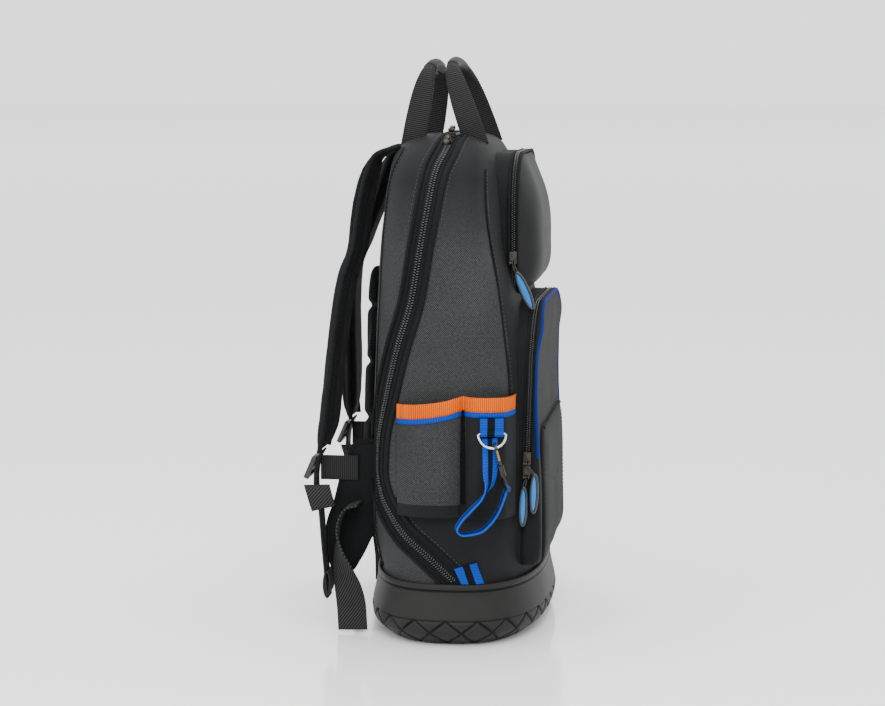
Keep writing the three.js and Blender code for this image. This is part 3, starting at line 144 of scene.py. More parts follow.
# A skin over rows of points. Rows may close on themselves, and a fan may close the first and last
def gridSkin(name, rows, roundRows=False, closeEnds=False, uvRows=None):
    rows = np.array(rows, float)
    count, across = rows.shape[:2]
    points = rows.reshape(-1, 3).tolist()
    if uvRows is None:
        wrapped = np.concatenate([rows, rows[:, :1]], axis=1) if roundRows else rows
        steps = np.linalg.norm(np.diff(wrapped, axis=1), axis=2)
        u = np.concatenate([np.zeros((count, 1)), np.cumsum(steps, axis=1)], axis=1)
        u -= u[:, -1:] / 2
        v = np.concatenate([[0], np.cumsum(np.linalg.norm(np.diff(rows, axis=0), axis=2).mean(axis=1))])
        uvRows = np.stack([u, np.repeat(v[:, None], u.shape[1], axis=1)], axis=2) * 0.001
    faces, uvs = [], []
    for i in range(count - 1):
        here, ahead = i * across, (i + 1) * across
        for j in range(across if roundRows else across - 1):
            m = (j + 1) % across
            faces.append((here + j, here + m, ahead + m, ahead + j))
            uvs.append((uvRows[i][j], uvRows[i][j + 1], uvRows[i + 1][j + 1], uvRows[i + 1][j]))
    if closeEnds:
        for i in (0, count - 1):
            centre = len(points)
            points.append(rows[i].mean(axis=0).tolist())
            for j in range(across):
                face = (i * across + j, i * across + (j + 1) % across, centre)
                fan = (uvRows[i][j], uvRows[i][j + 1], uvRows[i][j])
                faces.append(face[::-1] if i == 0 else face)
                uvs.append(fan[::-1] if i == 0 else fan)
    return newObject(name, meshOf(name, points, faces, uvs))


# Gives a piece its finish, its body and the solids that it stands for
def settle(piece, finish, nodes=(), body="pack"):
    piece.data.materials.clear()
    piece.data.materials.append(finish)
    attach(piece, body)
    if nodes:
        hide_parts(*nodes)
    return piece


def bakeDown(piece):  # modifiers become plain mesh
    graph = bpy.context.evaluated_depsgraph_get()
    mesh = bpy.data.meshes.new_from_object(piece.evaluated_get(graph))
    piece.modifiers.clear()
    piece.data = mesh
    return piece


def thicken(piece, thickness):
    wall = piece.modifiers.new("wall", "SOLIDIFY")
    wall.thickness = thickness * 0.001
    wall.offset = -1
    wall.use_even_offset = True
    return bakeDown(piece)


# Soft unevenness of cloth: low swells, with a weight for each point
def crumple(piece, depth, size, weights=None, stretch=(1, 1, 1), shift=0.0):
    mesh = piece.data
    normals = [v.normal.copy() for v in mesh.vertices]
    for v, normal in zip(mesh.vertices, normals):
        p = v.co * 1000 / size
        p = Vector((p.x * stretch[0], p.y * stretch[1], p.z * stretch[2] + shift))
        rise = noise.noise(p) + 0.45 * noise.noise(p * 2.3)
        weight = 1 if weights is None else weights[v.index]
        v.co += normal * (rise * depth * 0.001 * weight)
    mesh.update()


# A value for each point of a piece, worked out from its place, for a finish to read
def storeField(piece, name, valueOf):
    field = piece.data.attributes.new(name, "FLOAT", "POINT")
    field.data.foreach_set("value", [float(valueOf(*(v.co * 1000))) for v in piece.data.vertices])


def storeStripe(piece, across):  # a cloth map whose first number runs across the tape
    layer = piece.data.uv_layers.new(name="cloth")
    for loop in piece.data.loops:
        x, y, z = piece.data.vertices[loop.vertex_index].co * 1000
        layer.data[loop.index].uv = (across(x, y, z) * 0.001, z * 0.001)


def treeOf(name, sockets):
    tree = bpy.data.node_groups.new(name, "GeometryNodeTree")
    tree.interface.new_socket("Geometry", in_out="INPUT", socket_type="NodeSocketGeometry")
    for label, kind, value in sockets:
        socket = tree.interface.new_socket(label, in_out="INPUT", socket_type=kind)
        if value is not None:
            socket.default_value = value
    tree.interface.new_socket("Geometry", in_out="OUTPUT", socket_type="NodeSocketGeometry")
    source = tree.nodes.new("NodeGroupInput")
    return tree, {s.name: source.outputs[s.name] for s in source.outputs if s.name}


def runTree(piece, tree, values):
    modifier = piece.modifiers.new("build", "NODES")
    modifier.node_group = tree
    for item in tree.interface.items_tree:
        if item.in_out == "INPUT" and item.name in values:
            modifier[item.identifier] = values[item.name]
    piece = bakeDown(piece)
    if not piece.data.materials:
        piece.data.materials.append(values["Finish"])
    piece.data.polygons.foreach_set("use_smooth", [True] * len(piece.data.polygons))
    return piece


# Beads: one small rounded body at each point, turned to its own along and out directions
beadTree, beadIn = treeOf("beadsOnPoints", [
    ("Length", "NodeSocketFloat", 0.002), ("Width", "NodeSocketFloat", 0.001),
    ("Height", "NodeSocketFloat", 0.001), ("Sides", "NodeSocketInt", 6),
    ("Finish", "NodeSocketMaterial", None)])
alongField = addNode(beadTree, "GeometryNodeInputNamedAttribute", {"data_type": "FLOAT_VECTOR"},
                     {"Name": "along"})
outField = addNode(beadTree, "GeometryNodeInputNamedAttribute", {"data_type": "FLOAT_VECTOR"},
                   {"Name": "out"})
turned = addNode(beadTree, "FunctionNodeAxesToRotation", {"primary_axis": "Z", "secondary_axis": "X"},
                 {"Primary Axis": outField, "Secondary Axis": alongField})
beadScale = addNode(beadTree, "ShaderNodeCombineXYZ", None,
                    {"X": beadIn["Length"], "Y": beadIn["Width"], "Z": beadIn["Height"]})
bead = addNode(beadTree, "GeometryNodeMeshUVSphere", None,
               {"Segments": beadIn["Sides"], "Rings": 4, "Radius": 0.5})
beads = addNode(beadTree, "GeometryNodeInstanceOnPoints", None,
                {"Points": beadIn["Geometry"], "Instance": bead, "Rotation": turned, "Scale": beadScale})
beads = addNode(beadTree, "GeometryNodeRealizeInstances", None, {"Geometry": beads})
beads = addNode(beadTree, "GeometryNodeSetMaterial", None,
                {"Geometry": beads, "Material": beadIn["Finish"]})
addNode(beadTree, "NodeGroupOutput", None, {"Geometry": beads})

# Pipe: a round skin along an edge path
pipeTree, pipeIn = treeOf("pipeOnPath", [
    ("Radius", "NodeSocketFloat", 0.001), ("Sides", "NodeSocketInt", 8),
    ("Finish", "NodeSocketMaterial", None)])
pathCurve = addNode(pipeTree, "GeometryNodeMeshToCurve", None, {"Mesh": pipeIn["Geometry"]})
ringCurve = addNode(pipeTree, "GeometryNodeCurvePrimitiveCircle", None,
                    {"Resolution": pipeIn["Sides"], "Radius": pipeIn["Radius"]})
pipe = addNode(pipeTree, "GeometryNodeCurveToMesh", None,
               {"Curve": pathCurve, "Profile Curve": ringCurve, "Fill Caps": True})
pipe = addNode(pipeTree, "GeometryNodeRealizeInstances", None, {"Geometry": pipe})
pipe = addNode(pipeTree, "GeometryNodeSetMaterial", None, {"Geometry": pipe, "Material": pipeIn["Finish"]})
addNode(pipeTree, "NodeGroupOutput", None, {"Geometry": pipe})


def beadRow(name, spots, length, width, height, finish):
    mesh = bpy.data.meshes.new(name)
    mesh.from_pydata([tuple(np.array(s[0]) * 0.001) for s in spots], [], [])
    for key, index in (("along", 1), ("out", 2)):
        field = mesh.attributes.new(key, "FLOAT_VECTOR", "POINT")
        field.data.foreach_set("vector", [float(c) for s in spots for c in unit(s[index])])
    values = {"Length": length * 0.001, "Width": width * 0.001, "Height": height * 0.001, "Finish": finish}
    return runTree(newObject(name, mesh), beadTree, values)


def pipeAlong(name, paths, radius, finish, closed=False, sides=8):
    points, edges = [], []
    for path in paths:
        start = len(points)
        points += [tuple(np.array(p) * 0.001) for p in path]
        edges += [(start + i, start + i + 1) for i in range(len(path) - 1)]
        if closed:
            edges.append((start + len(path) - 1, start))
    mesh = bpy.data.meshes.new(name)
    mesh.from_pydata(points, edges, [])
    return runTree(newObject(name, mesh), pipeTree,
                   {"Radius": radius * 0.001, "Sides": sides, "Finish": finish})


# Finishes

def newFinish(name):
    finish = bpy.data.materials.new(name)
    finish.use_nodes = True
    tree = finish.node_tree
    shader = next(n for n in tree.nodes if n.type == "BSDF_PRINCIPLED")
    return finish, tree, shader


# Woven goods: two sets of threads that pass over and under each other, drawn from the
# thread spacing in millimetres; a twill slants them and a rib has only the cross threads.
# Where plain is given, the points' panel value tells the heavy weave from the plain cloth.
def clothFinish(name, dark, light, thread, rough, sheen=0.02, bump=0.5, kind="weave", source="cloth",
                patch=0.5, stripe=None, speck=0.35, plain=None):
    finish, tree, shader = newFinish(name)
    if source == "cloth":
        spot = addNode(tree, "ShaderNodeUVMap", {"uv_map": "cloth"})
    else:
        spot = addNode(tree, "ShaderNodeTexCoord", None, None, out=3)
    if source == "xz":  # pads face the wearer, so their cloth lies in x and z
        spot = addNode(tree, "ShaderNodeMapping", None, {"Vector": spot, "Rotation": (radians(90), 0, 0)})
    if kind == "twill":
        spot = addNode(tree, "ShaderNodeMapping", None, {"Vector": spot, "Rotation": (0, 0, radians(38))})
    scale = 0.3142 / (thread * 0.001)  # a wave texture repeats every 0.314 over its scale
    first = addNode(tree, "ShaderNodeTexWave", {"bands_direction": "X"}, {"Vector": spot, "Scale": scale},
                    out=1)
    second = addNode(tree, "ShaderNodeTexWave", {"bands_direction": "Y"}, {"Vector": spot, "Scale": scale},
                     out=1)
    if kind == "weave":
        a = addNode(tree, "ShaderNodeMath", {"operation": "MULTIPLY_ADD"}, {0: first, 1: 2.0, 2: -1.0})
        b = addNode(tree, "ShaderNodeMath", {"operation": "MULTIPLY_ADD"}, {0: second, 1: 2.0, 2: -1.0})
        c = addNode(tree, "ShaderNodeMath", {"operation": "MULTIPLY"}, {0: a, 1: b})
        height = addNode(tree, "ShaderNodeMath", {"operation": "MULTIPLY_ADD"}, {0: c, 1: 0.5, 2: 0.5})
    elif kind == "twill":
        height = first
    else:
        fine = addNode(tree, "ShaderNodeTexWave", {"bands_direction": "X"},
                       {"Vector": spot, "Scale": scale * 1.7}, out=1)
        height = addNode(tree, "ShaderNodeMath", {"operation": "MULTIPLY_ADD"},
                         {0: fine, 1: 0.25, 2: second})
    body = addNode(tree, "ShaderNodeTexCoord", None, None, out=3)
    cloud = addNode(tree, "ShaderNodeTexNoise", None, {"Vector": body, "Scale": 14.0, "Detail": 3.0})
    grain = addNode(tree, "ShaderNodeTexNoise", None, {"Vector": spot, "Scale": 420.0, "Detail": 2.0})
    tone = addNode(tree, "ShaderNodeMath", {"operation": "MULTIPLY_ADD"},
                   {0: cloud, 1: patch, 2: -patch / 2})
    # Painted light and shade: the weave's raised threads are coloured lighter and the dips between them
    # darker
    tone = addNode(tree, "ShaderNodeMath", {"operation": "ADD"}, {0: tone, 1: height})
    # Small specks, partly random thread tone and partly painted glints on the threads
    speckle = addNode(tree, "ShaderNodeMath", {"operation": "MULTIPLY_ADD"},
                      {0: grain, 1: speck * 2, 2: -speck})
    tone = addNode(tree, "ShaderNodeMath", {"operation": "ADD", "use_clamp": True}, {0: tone, 1: speckle})
    colour = addNode(tree, "ShaderNodeMix", {"data_type": "RGBA"},
                     {0: tone, 6: linear(dark), 7: linear(light)}, out=2)
    if plain:
        field = addNode(tree, "ShaderNodeAttribute", {"attribute_name": "panel"}, None, out=2)
        inside = addNode(tree, "ShaderNodeMath", {"operation": "MULTIPLY_ADD", "use_clamp": True},
                         {0: field, 1: 1.2, 2: 0.5})
        smooth = addNode(tree, "ShaderNodeMix", {"data_type": "RGBA"},
                         {0: cloud, 6: linear(plain[0]), 7: linear(plain[1])}, out=2)
        colour = addNode(tree, "ShaderNodeMix", {"data_type": "RGBA"}, {0: inside, 6: smooth, 7: colour},
                         out=2)
        less = addNode(tree, "ShaderNodeMath", {"operation": "MULTIPLY_ADD"}, {0: inside, 1: 0.75, 2: 0.25})
        height = addNode(tree, "ShaderNodeMath", {"operation": "MULTIPLY"}, {0: height, 1: less})
    if stripe:  # a darker stripe woven along the middle of a tape
        across = addNode(tree, "ShaderNodeSeparateXYZ", None, {"Vector": spot})
        across = addNode(tree, "ShaderNodeMath", {"operation": "ABSOLUTE"}, {0: across})
        inside = addNode(tree, "ShaderNodeMath", {"operation": "LESS_THAN"},
                         {0: across, 1: stripe[1] * 0.001})
        colour = addNode(tree, "ShaderNodeMix", {"data_type": "RGBA"},
                         {0: inside, 6: colour, 7: linear(stripe[0])}, out=2)
    tree.links.new(colour, shader.inputs["Base Color"])
    shader.inputs["Roughness"].default_value = rough
    shader.inputs["Sheen Weight"].default_value = sheen
    shader.inputs["Sheen Roughness"].default_value = 0.4
    shader.inputs["Specular IOR Level"].default_value = 0.07
    bumped = addNode(tree, "ShaderNodeBump", None,
                     {"Strength": bump, "Distance": thread * 0.0002, "Height": height})
    tree.links.new(bumped, shader.inputs["Normal"])
    return finish


# Moulded and plated goods: a plain body colour with a fine grain, and gloss that varies a little
def hardFinish(name, dark, light, rough, metal=0.0, grain=900.0, bump=0.15, depth=0.0001, spread=0.12,
               shine=0.5, groove=None):
    finish, tree, shader = newFinish(name)
    spot = addNode(tree, "ShaderNodeTexCoord", None, None, out=3)
    fine = addNode(tree, "ShaderNodeTexNoise", None, {"Vector": spot, "Scale": grain, "Detail": 3.0})
    broad = addNode(tree, "ShaderNodeTexNoise", None, {"Vector": spot, "Scale": 22.0, "Detail": 4.0})
    tone = addNode(tree, "ShaderNodeMath", {"operation": "MULTIPLY_ADD"}, {0: fine, 1: 0.4, 2: broad})
    tone = addNode(tree, "ShaderNodeMath", {"operation": "SUBTRACT", "use_clamp": True}, {0: tone, 1: 0.2})
    colour = addNode(tree, "ShaderNodeMix", {"data_type": "RGBA"},
                     {0: tone, 6: linear(dark), 7: linear(light)}, out=2)
    if groove:  # painted shade: darker where the points' groove value says so
        field = addNode(tree, "ShaderNodeAttribute", {"attribute_name": "groove"}, None, out=2)
        colour = addNode(tree, "ShaderNodeMix", {"data_type": "RGBA"},
                         {0: field, 6: colour, 7: linear(groove)}, out=2)
    tree.links.new(colour, shader.inputs["Base Color"])
    gloss = addNode(tree, "ShaderNodeMath", {"operation": "MULTIPLY_ADD"},
                    {0: broad, 1: spread, 2: rough - spread / 2})
    tree.links.new(gloss, shader.inputs["Roughness"])
    shader.inputs["Metallic"].default_value = metal
    shader.inputs["Specular IOR Level"].default_value = shine
    bumped = addNode(tree, "ShaderNodeBump", None, {"Strength": bump, "Distance": depth, "Height": fine})
    tree.links.new(bumped, shader.inputs["Normal"])
    return finish


# Ballistic nylon, woven from thick threads: speckled with small painted glints on each thread
ballisticNylon = clothFinish("ballisticNylonWoven", "#080809", "#404142", 2.1, 0.62, bump=0.8, patch=0.3,
                             plain=("#111213", "#1c1d1e"))
# Plain nylon, closely woven and coated behind: matt, with a faint edge light
plainNylon = clothFinish("plainNylonWoven", "#0f1011", "#191a1b", 1.1, 0.72, bump=0.3, patch=0.4, speck=0.2)
# The same cloth cut on the slant for bindings and welts, a little coarser to the eye
plainNylonCut = clothFinish("plainNylonCut", "#0c0d0e", "#161718", 1.4, 0.75, bump=0.35, source="body")
# Near-black ribbed strip over the seam between a side pocket's cells: painted shade of the valley there,
# the darkest cloth on the pack
valleyShadeCloth = clothFinish("valleyShadeStripWoven", "#030303", "#0a0a0b", 1.6, 0.85, kind="rib", bump=0.4)
# Foam moulded under a stretched cloth: smooth, with a broad soft highlight
mouldedFoam = clothFinish("mouldedFoamShell", "#161818", "#222423", 0.9, 0.58, bump=0.15, patch=0.45,
                          speck=0.1)
# Nylon webbing, ribbed across by its weft
nylonWebbing = clothFinish("nylonWebbingRibbed", "#070707", "#2c2d2c", 2.0, 0.66, bump=1.0, kind="rib",
                           speck=0.1)
# Webbing with a slanting twill
twillWebbing = clothFinish("nylonWebbingTwill", "#0c0c0c", "#343534", 2.4, 0.66, bump=1.0, kind="twill",
                           speck=0.1)
# Spacer mesh over foam, knitted with open holes, black in the holes
spacerMesh = clothFinish("spacerMeshKnitted", "#050506", "#161718", 3.0, 0.85, bump=1.0, source="xz")
# Polyester grosgrain, bright with a rib across
orangeGrosgrain = clothFinish("orangeGrosgrainRibbed", "#8f3a00", "#dc5e00", 2.2, 0.7, sheen=0, bump=0.9,
                              kind="rib", patch=0.3, speck=0.1)
# Polyester tape with a fine rib, saturated blue, in places with a dark woven stripe
blueTape = clothFinish("bluePolyesterTape", "#041c60", "#103fa8", 1.6, 0.7, sheen=0, bump=0.6, kind="rib",
                       patch=0.3, speck=0.1)
stripedTape = clothFinish("stripedPolyesterTape", "#06246e", "#0d3fa2", 1.6, 0.7, sheen=0, bump=0.6,
                          kind="rib", patch=0.25, speck=0.1, stripe=("#0a0c0e", 3.6))
narrowTape = clothFinish("stripedNarrowTape", "#06246e", "#1148ae", 1.5, 0.7, sheen=0, bump=0.6, kind="rib",
                         patch=0.25, speck=0.1, stripe=("#0a0f18", 2.3))
# Zipper tape, closely ribbed and dull
zipperTape = clothFinish("zipperTapeWoven", "#0a0b0c", "#1c1d1e", 1.3, 0.7, bump=0.5, kind="rib", speck=0.1)
# Nylon coil, drawn monofilament: dark with small bright glints
nylonCoil = hardFinish("zipperCoilNylon", "#0c0d0e", "#2c2e2f", 0.26, bump=0.1)
# Thermoplastic rubber, moulded: dull, finely grained, scuffed lighter in places, with near-black painted
# shade in its grooves
mouldedRubber = hardFinish("thermoplasticRubberMoulded", "#141414", "#232322", 0.55, grain=1500.0,
                           bump=0.25, shine=0.16, groove="#020202")
# Plated steel wire, bright
platedSteel = hardFinish("nickelPlatedSteel", "#b8babd", "#dcdddf", 0.16, metal=1.0, bump=0.05, spread=0.08)
# Zinc casting with a dark plating, worn brassy on its edges
darkZinc = hardFinish("darkPlatedZinc", "#1c1c1d", "#4a463f", 0.3, metal=1.0, grain=260.0, bump=0.15)
wornZinc = hardFinish("wornPlatedZinc", "#3b3833", "#a5916a", 0.26, metal=1.0, grain=180.0, bump=0.2)
# Acetal, moulded: black with a low gloss
blackAcetal = hardFinish("acetalMoulded", "#0c0d0e", "#17181a", 0.35, bump=0.1)
# Glossy vinyl of the pull tags
blueVinyl = hardFinish("blueVinylMoulded", "#075a9c", "#1878b8", 0.3, bump=0.08, shine=0.3)
darkVinyl = hardFinish("darkVinylMoulded", "#0c151e", "#182430", 0.35, bump=0.08)
# Bonded sewing thread with a dull, waxy shine
darkThread = hardFinish("bondedNylonThread", "#0d0e10", "#1b1d1f", 0.6, bump=0.3)
paleThread = hardFinish("greyNylonThread", "#1c1e20", "#343638", 0.6, bump=0.3)
print("finishes made")


# Body

body = dict(
    wide=160.65, deep=82.65, seat=50.0, top=500.0, wall=2.0, crown=1.5, columns=120, rowStep=4.0, hem=12.0,
    calm=30.0, topRows=[461.5, 477.5, 489, 491, 493, 495, 497.5, 498.7, 499.5],
    domeRings=[0.86, 0.7, 0.5, 0.3, 0.12, 0.02],
    rise=[0, 0.029, 0.062, 0.156, 0.333, 0.533, 0.656, 0.778, 0.844, 0.9, 0.944, 0.978, 0.993, 1],
    wides=[0.996, 0.996, 1, 1, 1, 1, 0.995, 0.985, 0.965, 0.91, 0.82, 0.69, 0.57, 0.46],
    front=[0.992, 0.992, 0.98, 0.93, 0.92, 0.88, 0.75, 0.585, 0.57, 0.53, 0.48, 0.4, 0.31, 0.22],
    back=[0.992, 0.992, 1.025, 1.035, 1.02, 0.99, 0.955, 0.92, 0.9, 0.875, 0.84, 0.77, 0.68, 0.59],
    square=[2.6, 2.6, 2.9, 4.2, 4.4, 4.4, 4.3, 4.1, 3.8, 3.5, 3.3, 3.1, 3, 3])
bodyLines = {key: smoothLine(body["rise"], body[key]) for key in ("wides", "front", "back", "square")}


def bodySection(z, grow=0.0):
    share = (z - body["seat"]) / (body["top"] - body["seat"])
    wide, front, back = [bodyLines[key](share) for key in ("wides", "front", "back")]
    return (wide * body["wide"] + grow, front * body["deep"] + grow, back * body["deep"] + grow,
            float(bodyLines["square"](share)))


def sideOf(y, z, grow=0.0):
    wide, front, back, square = bodySection(z, grow)
    share = min(1.0, abs(y) / (front if y < 0 else back))
    return wide * (1 - share ** square) ** (1 / square)


def faceOf(x, z, face="front"):
    wide, front, back, square = bodySection(z)
    share = min(1.0, abs(x) / wide)
    return (front if face == "front" else back) * (1 - share ** square) ** (1 / square)


# Points of the section from one angle to another, even along its length
def sectionArc(z, start, end, count):
    wide, front, back, square = bodySection(z)
    angles = np.linspace(start, end, 1400)
    c, s = np.cos(angles), np.sin(angles)
    x = wide * np.sign(c) * np.abs(c) ** (2 / square)
    y = np.where(s < 0, front, back) * np.sign(s) * np.abs(s) ** (2 / square)
    run = runAlong(np.stack([x, y], axis=1))
    even = np.linspace(0, run[-1], count)
    return np.stack([np.interp(even, run, x), np.interp(even, run, y), np.full(count, z)], axis=1)


def angleAt(y, z):
    wide, front, back, square = bodySection(z)
    share = min(1.0, abs(y) / (front if y < 0 else back))
    return (1 if y >= 0 else -1) * asin(share ** (square / 2))


# Main zipper: a swoop seen from the side
zipper = dict(
    half=11.3, pitch=2.6, offset=1.55, tilt=0.25, tooth=(4.2, 1.9, 2.6),
    rise=[-0.05, 0.01, 0.047, 0.091, 0.131, 0.171, 0.218, 0.27, 0.329, 0.427, 0.54, 0.651, 0.759, 0.849,
          0.932, 0.978, 1.04],
    reach=[-0.48, -0.2, -0.01, 0.25, 0.5, 0.665, 0.81, 0.87, 0.855, 0.75, 0.6, 0.42, 0.32, 0.235, 0.16,
           0.07, 0.02])
zipHeights = np.linspace(30, 518, 500)
zipShares = (zipHeights - body["seat"]) / (body["top"] - body["seat"])
zipReach = smoothLine(zipper["rise"], zipper["reach"])(zipShares) * body["deep"]


def zipLine(offset):  # y of a line beside the zipper at a height
    dy, dz = np.gradient(zipReach), np.gradient(zipHeights)
    size = np.hypot(dy, dz)
    ys, zs = zipReach + dz / size * offset, zipHeights - dy / size * offset
    order = np.argsort(zs)
    return lambda z: float(np.interp(z, zs[order], ys[order]))


# The whole run beside the zipper: up one side, over the top and down the other
def zipPath(offset, lift, low=64.5, count=260):
    line = zipLine(offset)
    top = body["top"]
    side = [(-sideOf(line(z), z, lift), line(z), z + lift * 0.2) for z in np.linspace(low, top - 0.4, 140)]
    x = -side[-1][0]
    over = [(x * t, line(top), top + lift + body["crown"] * (1 - t * t))
            for t in np.linspace(-0.94, 0.94, 24)]
    back = [(-px, py, pz) for px, py, pz in side[::-1]]
    return smoothPath(side + over + back, count)


def makeShell(name, offset, front):
    line = zipLine(offset)
    heights = list(np.arange(body["seat"], body["top"], body["rowStep"])) + [body["top"]]
    rows = []
    for z in sorted(set(heights + body["topRows"])):
        near = angleAt(line(z), z)
        start, end = (pi - near, 2 * pi + near) if front else (near, pi - near)
        rows.append(sectionArc(z, start, end, body["columns"]))
    centre = np.array([0, line(body["top"]), body["top"]])
    last = rows[-1]
    for t in body["domeRings"]:
        ring = centre + (last - centre) * t
        ring[:, 2] = body["top"] + body["crown"] * (1 - t * t)
        rows.append(ring)
    shell = gridSkin(name, rows)
    across = np.sin(np.linspace(0, pi, body["columns"])) ** 0.5
    weights = []
    for row in rows:  # the cloth lies smooth towards its hem and the top
        z = row[0][2]
        low, high = z - body["seat"] - body["hem"], body["top"] - z
        fade = np.clip(low / body["calm"], 0, 1) * np.clip(high / body["calm"], 0, 1)
        weights += list(across * fade)
    crumple(shell, 1.5, 75, weights, (1, 1, 0.6))
    crumple(shell, 0.5, 26, weights, (1, 1, 0.5), 3.1)
    return shell


# The heavy weave shows where the panel value is above 0: between the low seam and the yoke
panels = dict(seam=147.0, yoke=425.0, fade=0.012, corner=0.81)


def frontPanel(x, y, z):
    corner = y + panels["corner"] * bodySection(z)[1]
    return min(z - panels["seam"], (panels["yoke"] - z) * panels["fade"], corner)


frontCloth = thicken(makeShell("bodyFrontCloth", -zipper["half"], True), body["wall"])
storeField(frontCloth, "panel", frontPanel)
settle(frontCloth, ballisticNylon, ["front_shell"])
backCloth = thicken(makeShell("bodyBackCloth", zipper["half"], False), body["wall"])
storeField(backCloth, "panel", lambda x, y, z: (panels["yoke"] - z) * panels["fade"])
settle(backCloth, ballisticNylon, ["back_shell"])

# Tape of the main zipper, set in a little from the cloth
tapeRows = []
for share in np.linspace(-1, 1, 13):
    sink = -0.9 + 0.5 * (abs(share) > 0.9)
    tapeRows.append(zipPath(share * (zipper["half"] - 0.2), sink, low=50.5))
mainTape = gridSkin("mainZipperTape", np.transpose(np.array(tapeRows), (1, 0, 2)))
settle(thicken(mainTape, 1.2), zipperTape, ["main_zipper"])


# Two rows of teeth along a path, each leaning on its way to the other
def teethAlong(path, outOf, pitch, offset, tilt):
    spots = []
    run = runAlong(path)
    for side in (-1, 1):
        for d in np.arange(pitch * (0.75 if side > 0 else 0.25), run[-1], pitch):
            at = placeAt(path, run, d)
            along = unit(placeAt(path, run, min(run[-1], d + 1)) - placeAt(path, run, max(0, d - 1)))
            out = outOf(at, along)
            across = unit(np.cross(out, along))
            spots.append((at + across * side * offset, unit(across + along * tilt * side), out))
    return spots


def bodyOut(at, along):  # the body's outward direction at a place on it
    x, y, z = at
    if z > body["top"] - 3:
        return np.array([0.25 * x / 80, 0, 1.0])
    h = 1.5
    high = min(body["top"] - 1, z + h)
    dy = (sideOf(y + h, z) - sideOf(y - h, z)) / (2 * h)
    dz = (sideOf(y, high) - sideOf(y, z - h)) / (high - z + h)
    return unit([1 if x > 0 else -1, -dy, -dz])


teeth = teethAlong(zipPath(0, 0.3, count=500), bodyOut, zipper["pitch"], zipper["offset"], zipper["tilt"])
settle(beadRow("mainZipperCoil", teeth, *zipper["tooth"], nylonCoil), nylonCoil)
edgePipes = [zipPath(side * (zipper["half"] + 0.4), 0.5, low=62.5) for side in (-1, 1)]
settle(pipeAlong("mainZipperWelts", edgePipes, 1.9, plainNylonCut), plainNylonCut)
tapeLines = [zipPath(side * 6.2, -0.5, low=62.5) for side in (-1, 1)]
settle(pipeAlong("mainZipperTapeRibs", tapeLines, 0.75, plainNylonCut, sides=6), plainNylonCut)
print("body and main zipper made")


# Seams of the body: raised bindings with a line of stitches beside them
def sidePath(side, points, lift=0.3, count=80):
    flat = smoothPath([(y, z, 0) for y, z in points], count)
    return np.array([(side * sideOf(y, z, lift), y, z) for y, z, _ in flat])


seams = dict(
    backCorner=[(0.80, 0.975), (0.865, 0.9), (0.88, 0.7), (0.885, 0.4), (0.88, 0.12), (0.86, 0.04)],
    frontCorner=[(-0.80, 0.93), (-0.81, 0.8), (-0.81, 0.66), (-0.81, 0.45), (-0.81, 0.26)])
seamPaths = []
for side in (-1, 1):
    for name, face in (("backCorner", 2), ("frontCorner", 1)):
        points = []
        for share, rise in seams[name]:
            z = body["seat"] + rise * (body["top"] - body["seat"])
            points.append((share * bodySection(z)[face], z))
        seamPaths.append(sidePath(side, points))
    seam = panels["seam"]
    nearZip = zipLine(-zipper["half"] - 3)(seam) - 1
    seamPaths.append(sidePath(side, [(nearZip, seam), (0, seam + 1), (-40, seam + 1), (-66, seam)]))
settle(pipeAlong("bodySeamBindings", seamPaths, 1.15, plainNylonCut), plainNylonCut)


stitch = dict(pitch=4.2, fine=(3.0, 0.75, 0.6), heavy=(3.0, 0.8, 0.7))


def stitchSpots(path, outOf, shift=0.0):
    spots = []
    run = runAlong(path)
    for d in np.arange(stitch["pitch"], run[-1] - stitch["pitch"], stitch["pitch"]):
        at = placeAt(path, run, d)
        along = unit(placeAt(path, run, d + 1) - at)
        out = unit(outOf(at, along))
        spots.append((at + np.cross(out, along) * shift, along, out))
    return spots


threads = []
for path in seamPaths:
    threads += stitchSpots(path, bodyOut, shift=3.4)
for offset in (-zipper["half"] - 4.5, zipper["half"] + 4.5):
    threads += stitchSpots(zipPath(offset, 0.2, low=66), bodyOut)
settle(beadRow("bodyStitches", threads, *stitch["fine"], paleThread), paleThread)


# Tub
tub = dict(
    wide=170.0, deep=92.0, square=2.6, repeats=27, perRepeat=36, treadLow=1.5, tread=26.0, treadEnd=27.2,
    groove=2.6, grooveHalf=1.0, plain=0.35, step=55.1, wallLean=6 / 27.2,
    wallRows=[31, 36, 41, 46, 50, 52.4], inside=[(24.0, 8.0), (12.0, 14.0), (4.0, 22.0)], floor=4.0,
    heights=[0, 0.25, 1, 2, 14, 20, 26, 53.2, 53.9, 54.4, 55.8, 56.3, 57, 61.2, 61.9, 62, 61.9, 50],
    insets=[22, 19.5, 16.6, 15, 1.6, 0.35, 0, 5.7, 6.1, 8.2, 8.2, 6.1, 5.7, 5.9, 6.5, 7.6, 8.8, 9.1])


def tubProfile():  # height and inset of each ring, from the foot to the lip
    treadLine = smoothLine(tub["heights"][:7], tub["insets"][:7])
    profile = [(h, float(treadLine(h))) for h in [0, 0.25, 0.6, 1, 1.5] + list(range(2, 27))]
    profile += [(27.0, 0.25), (28.2, 0.5)]
    profile += [(h, tub["wallLean"] * (h - tub["tread"])) for h in tub["wallRows"]]
    return profile + list(zip(tub["heights"][7:], tub["insets"][7:]))


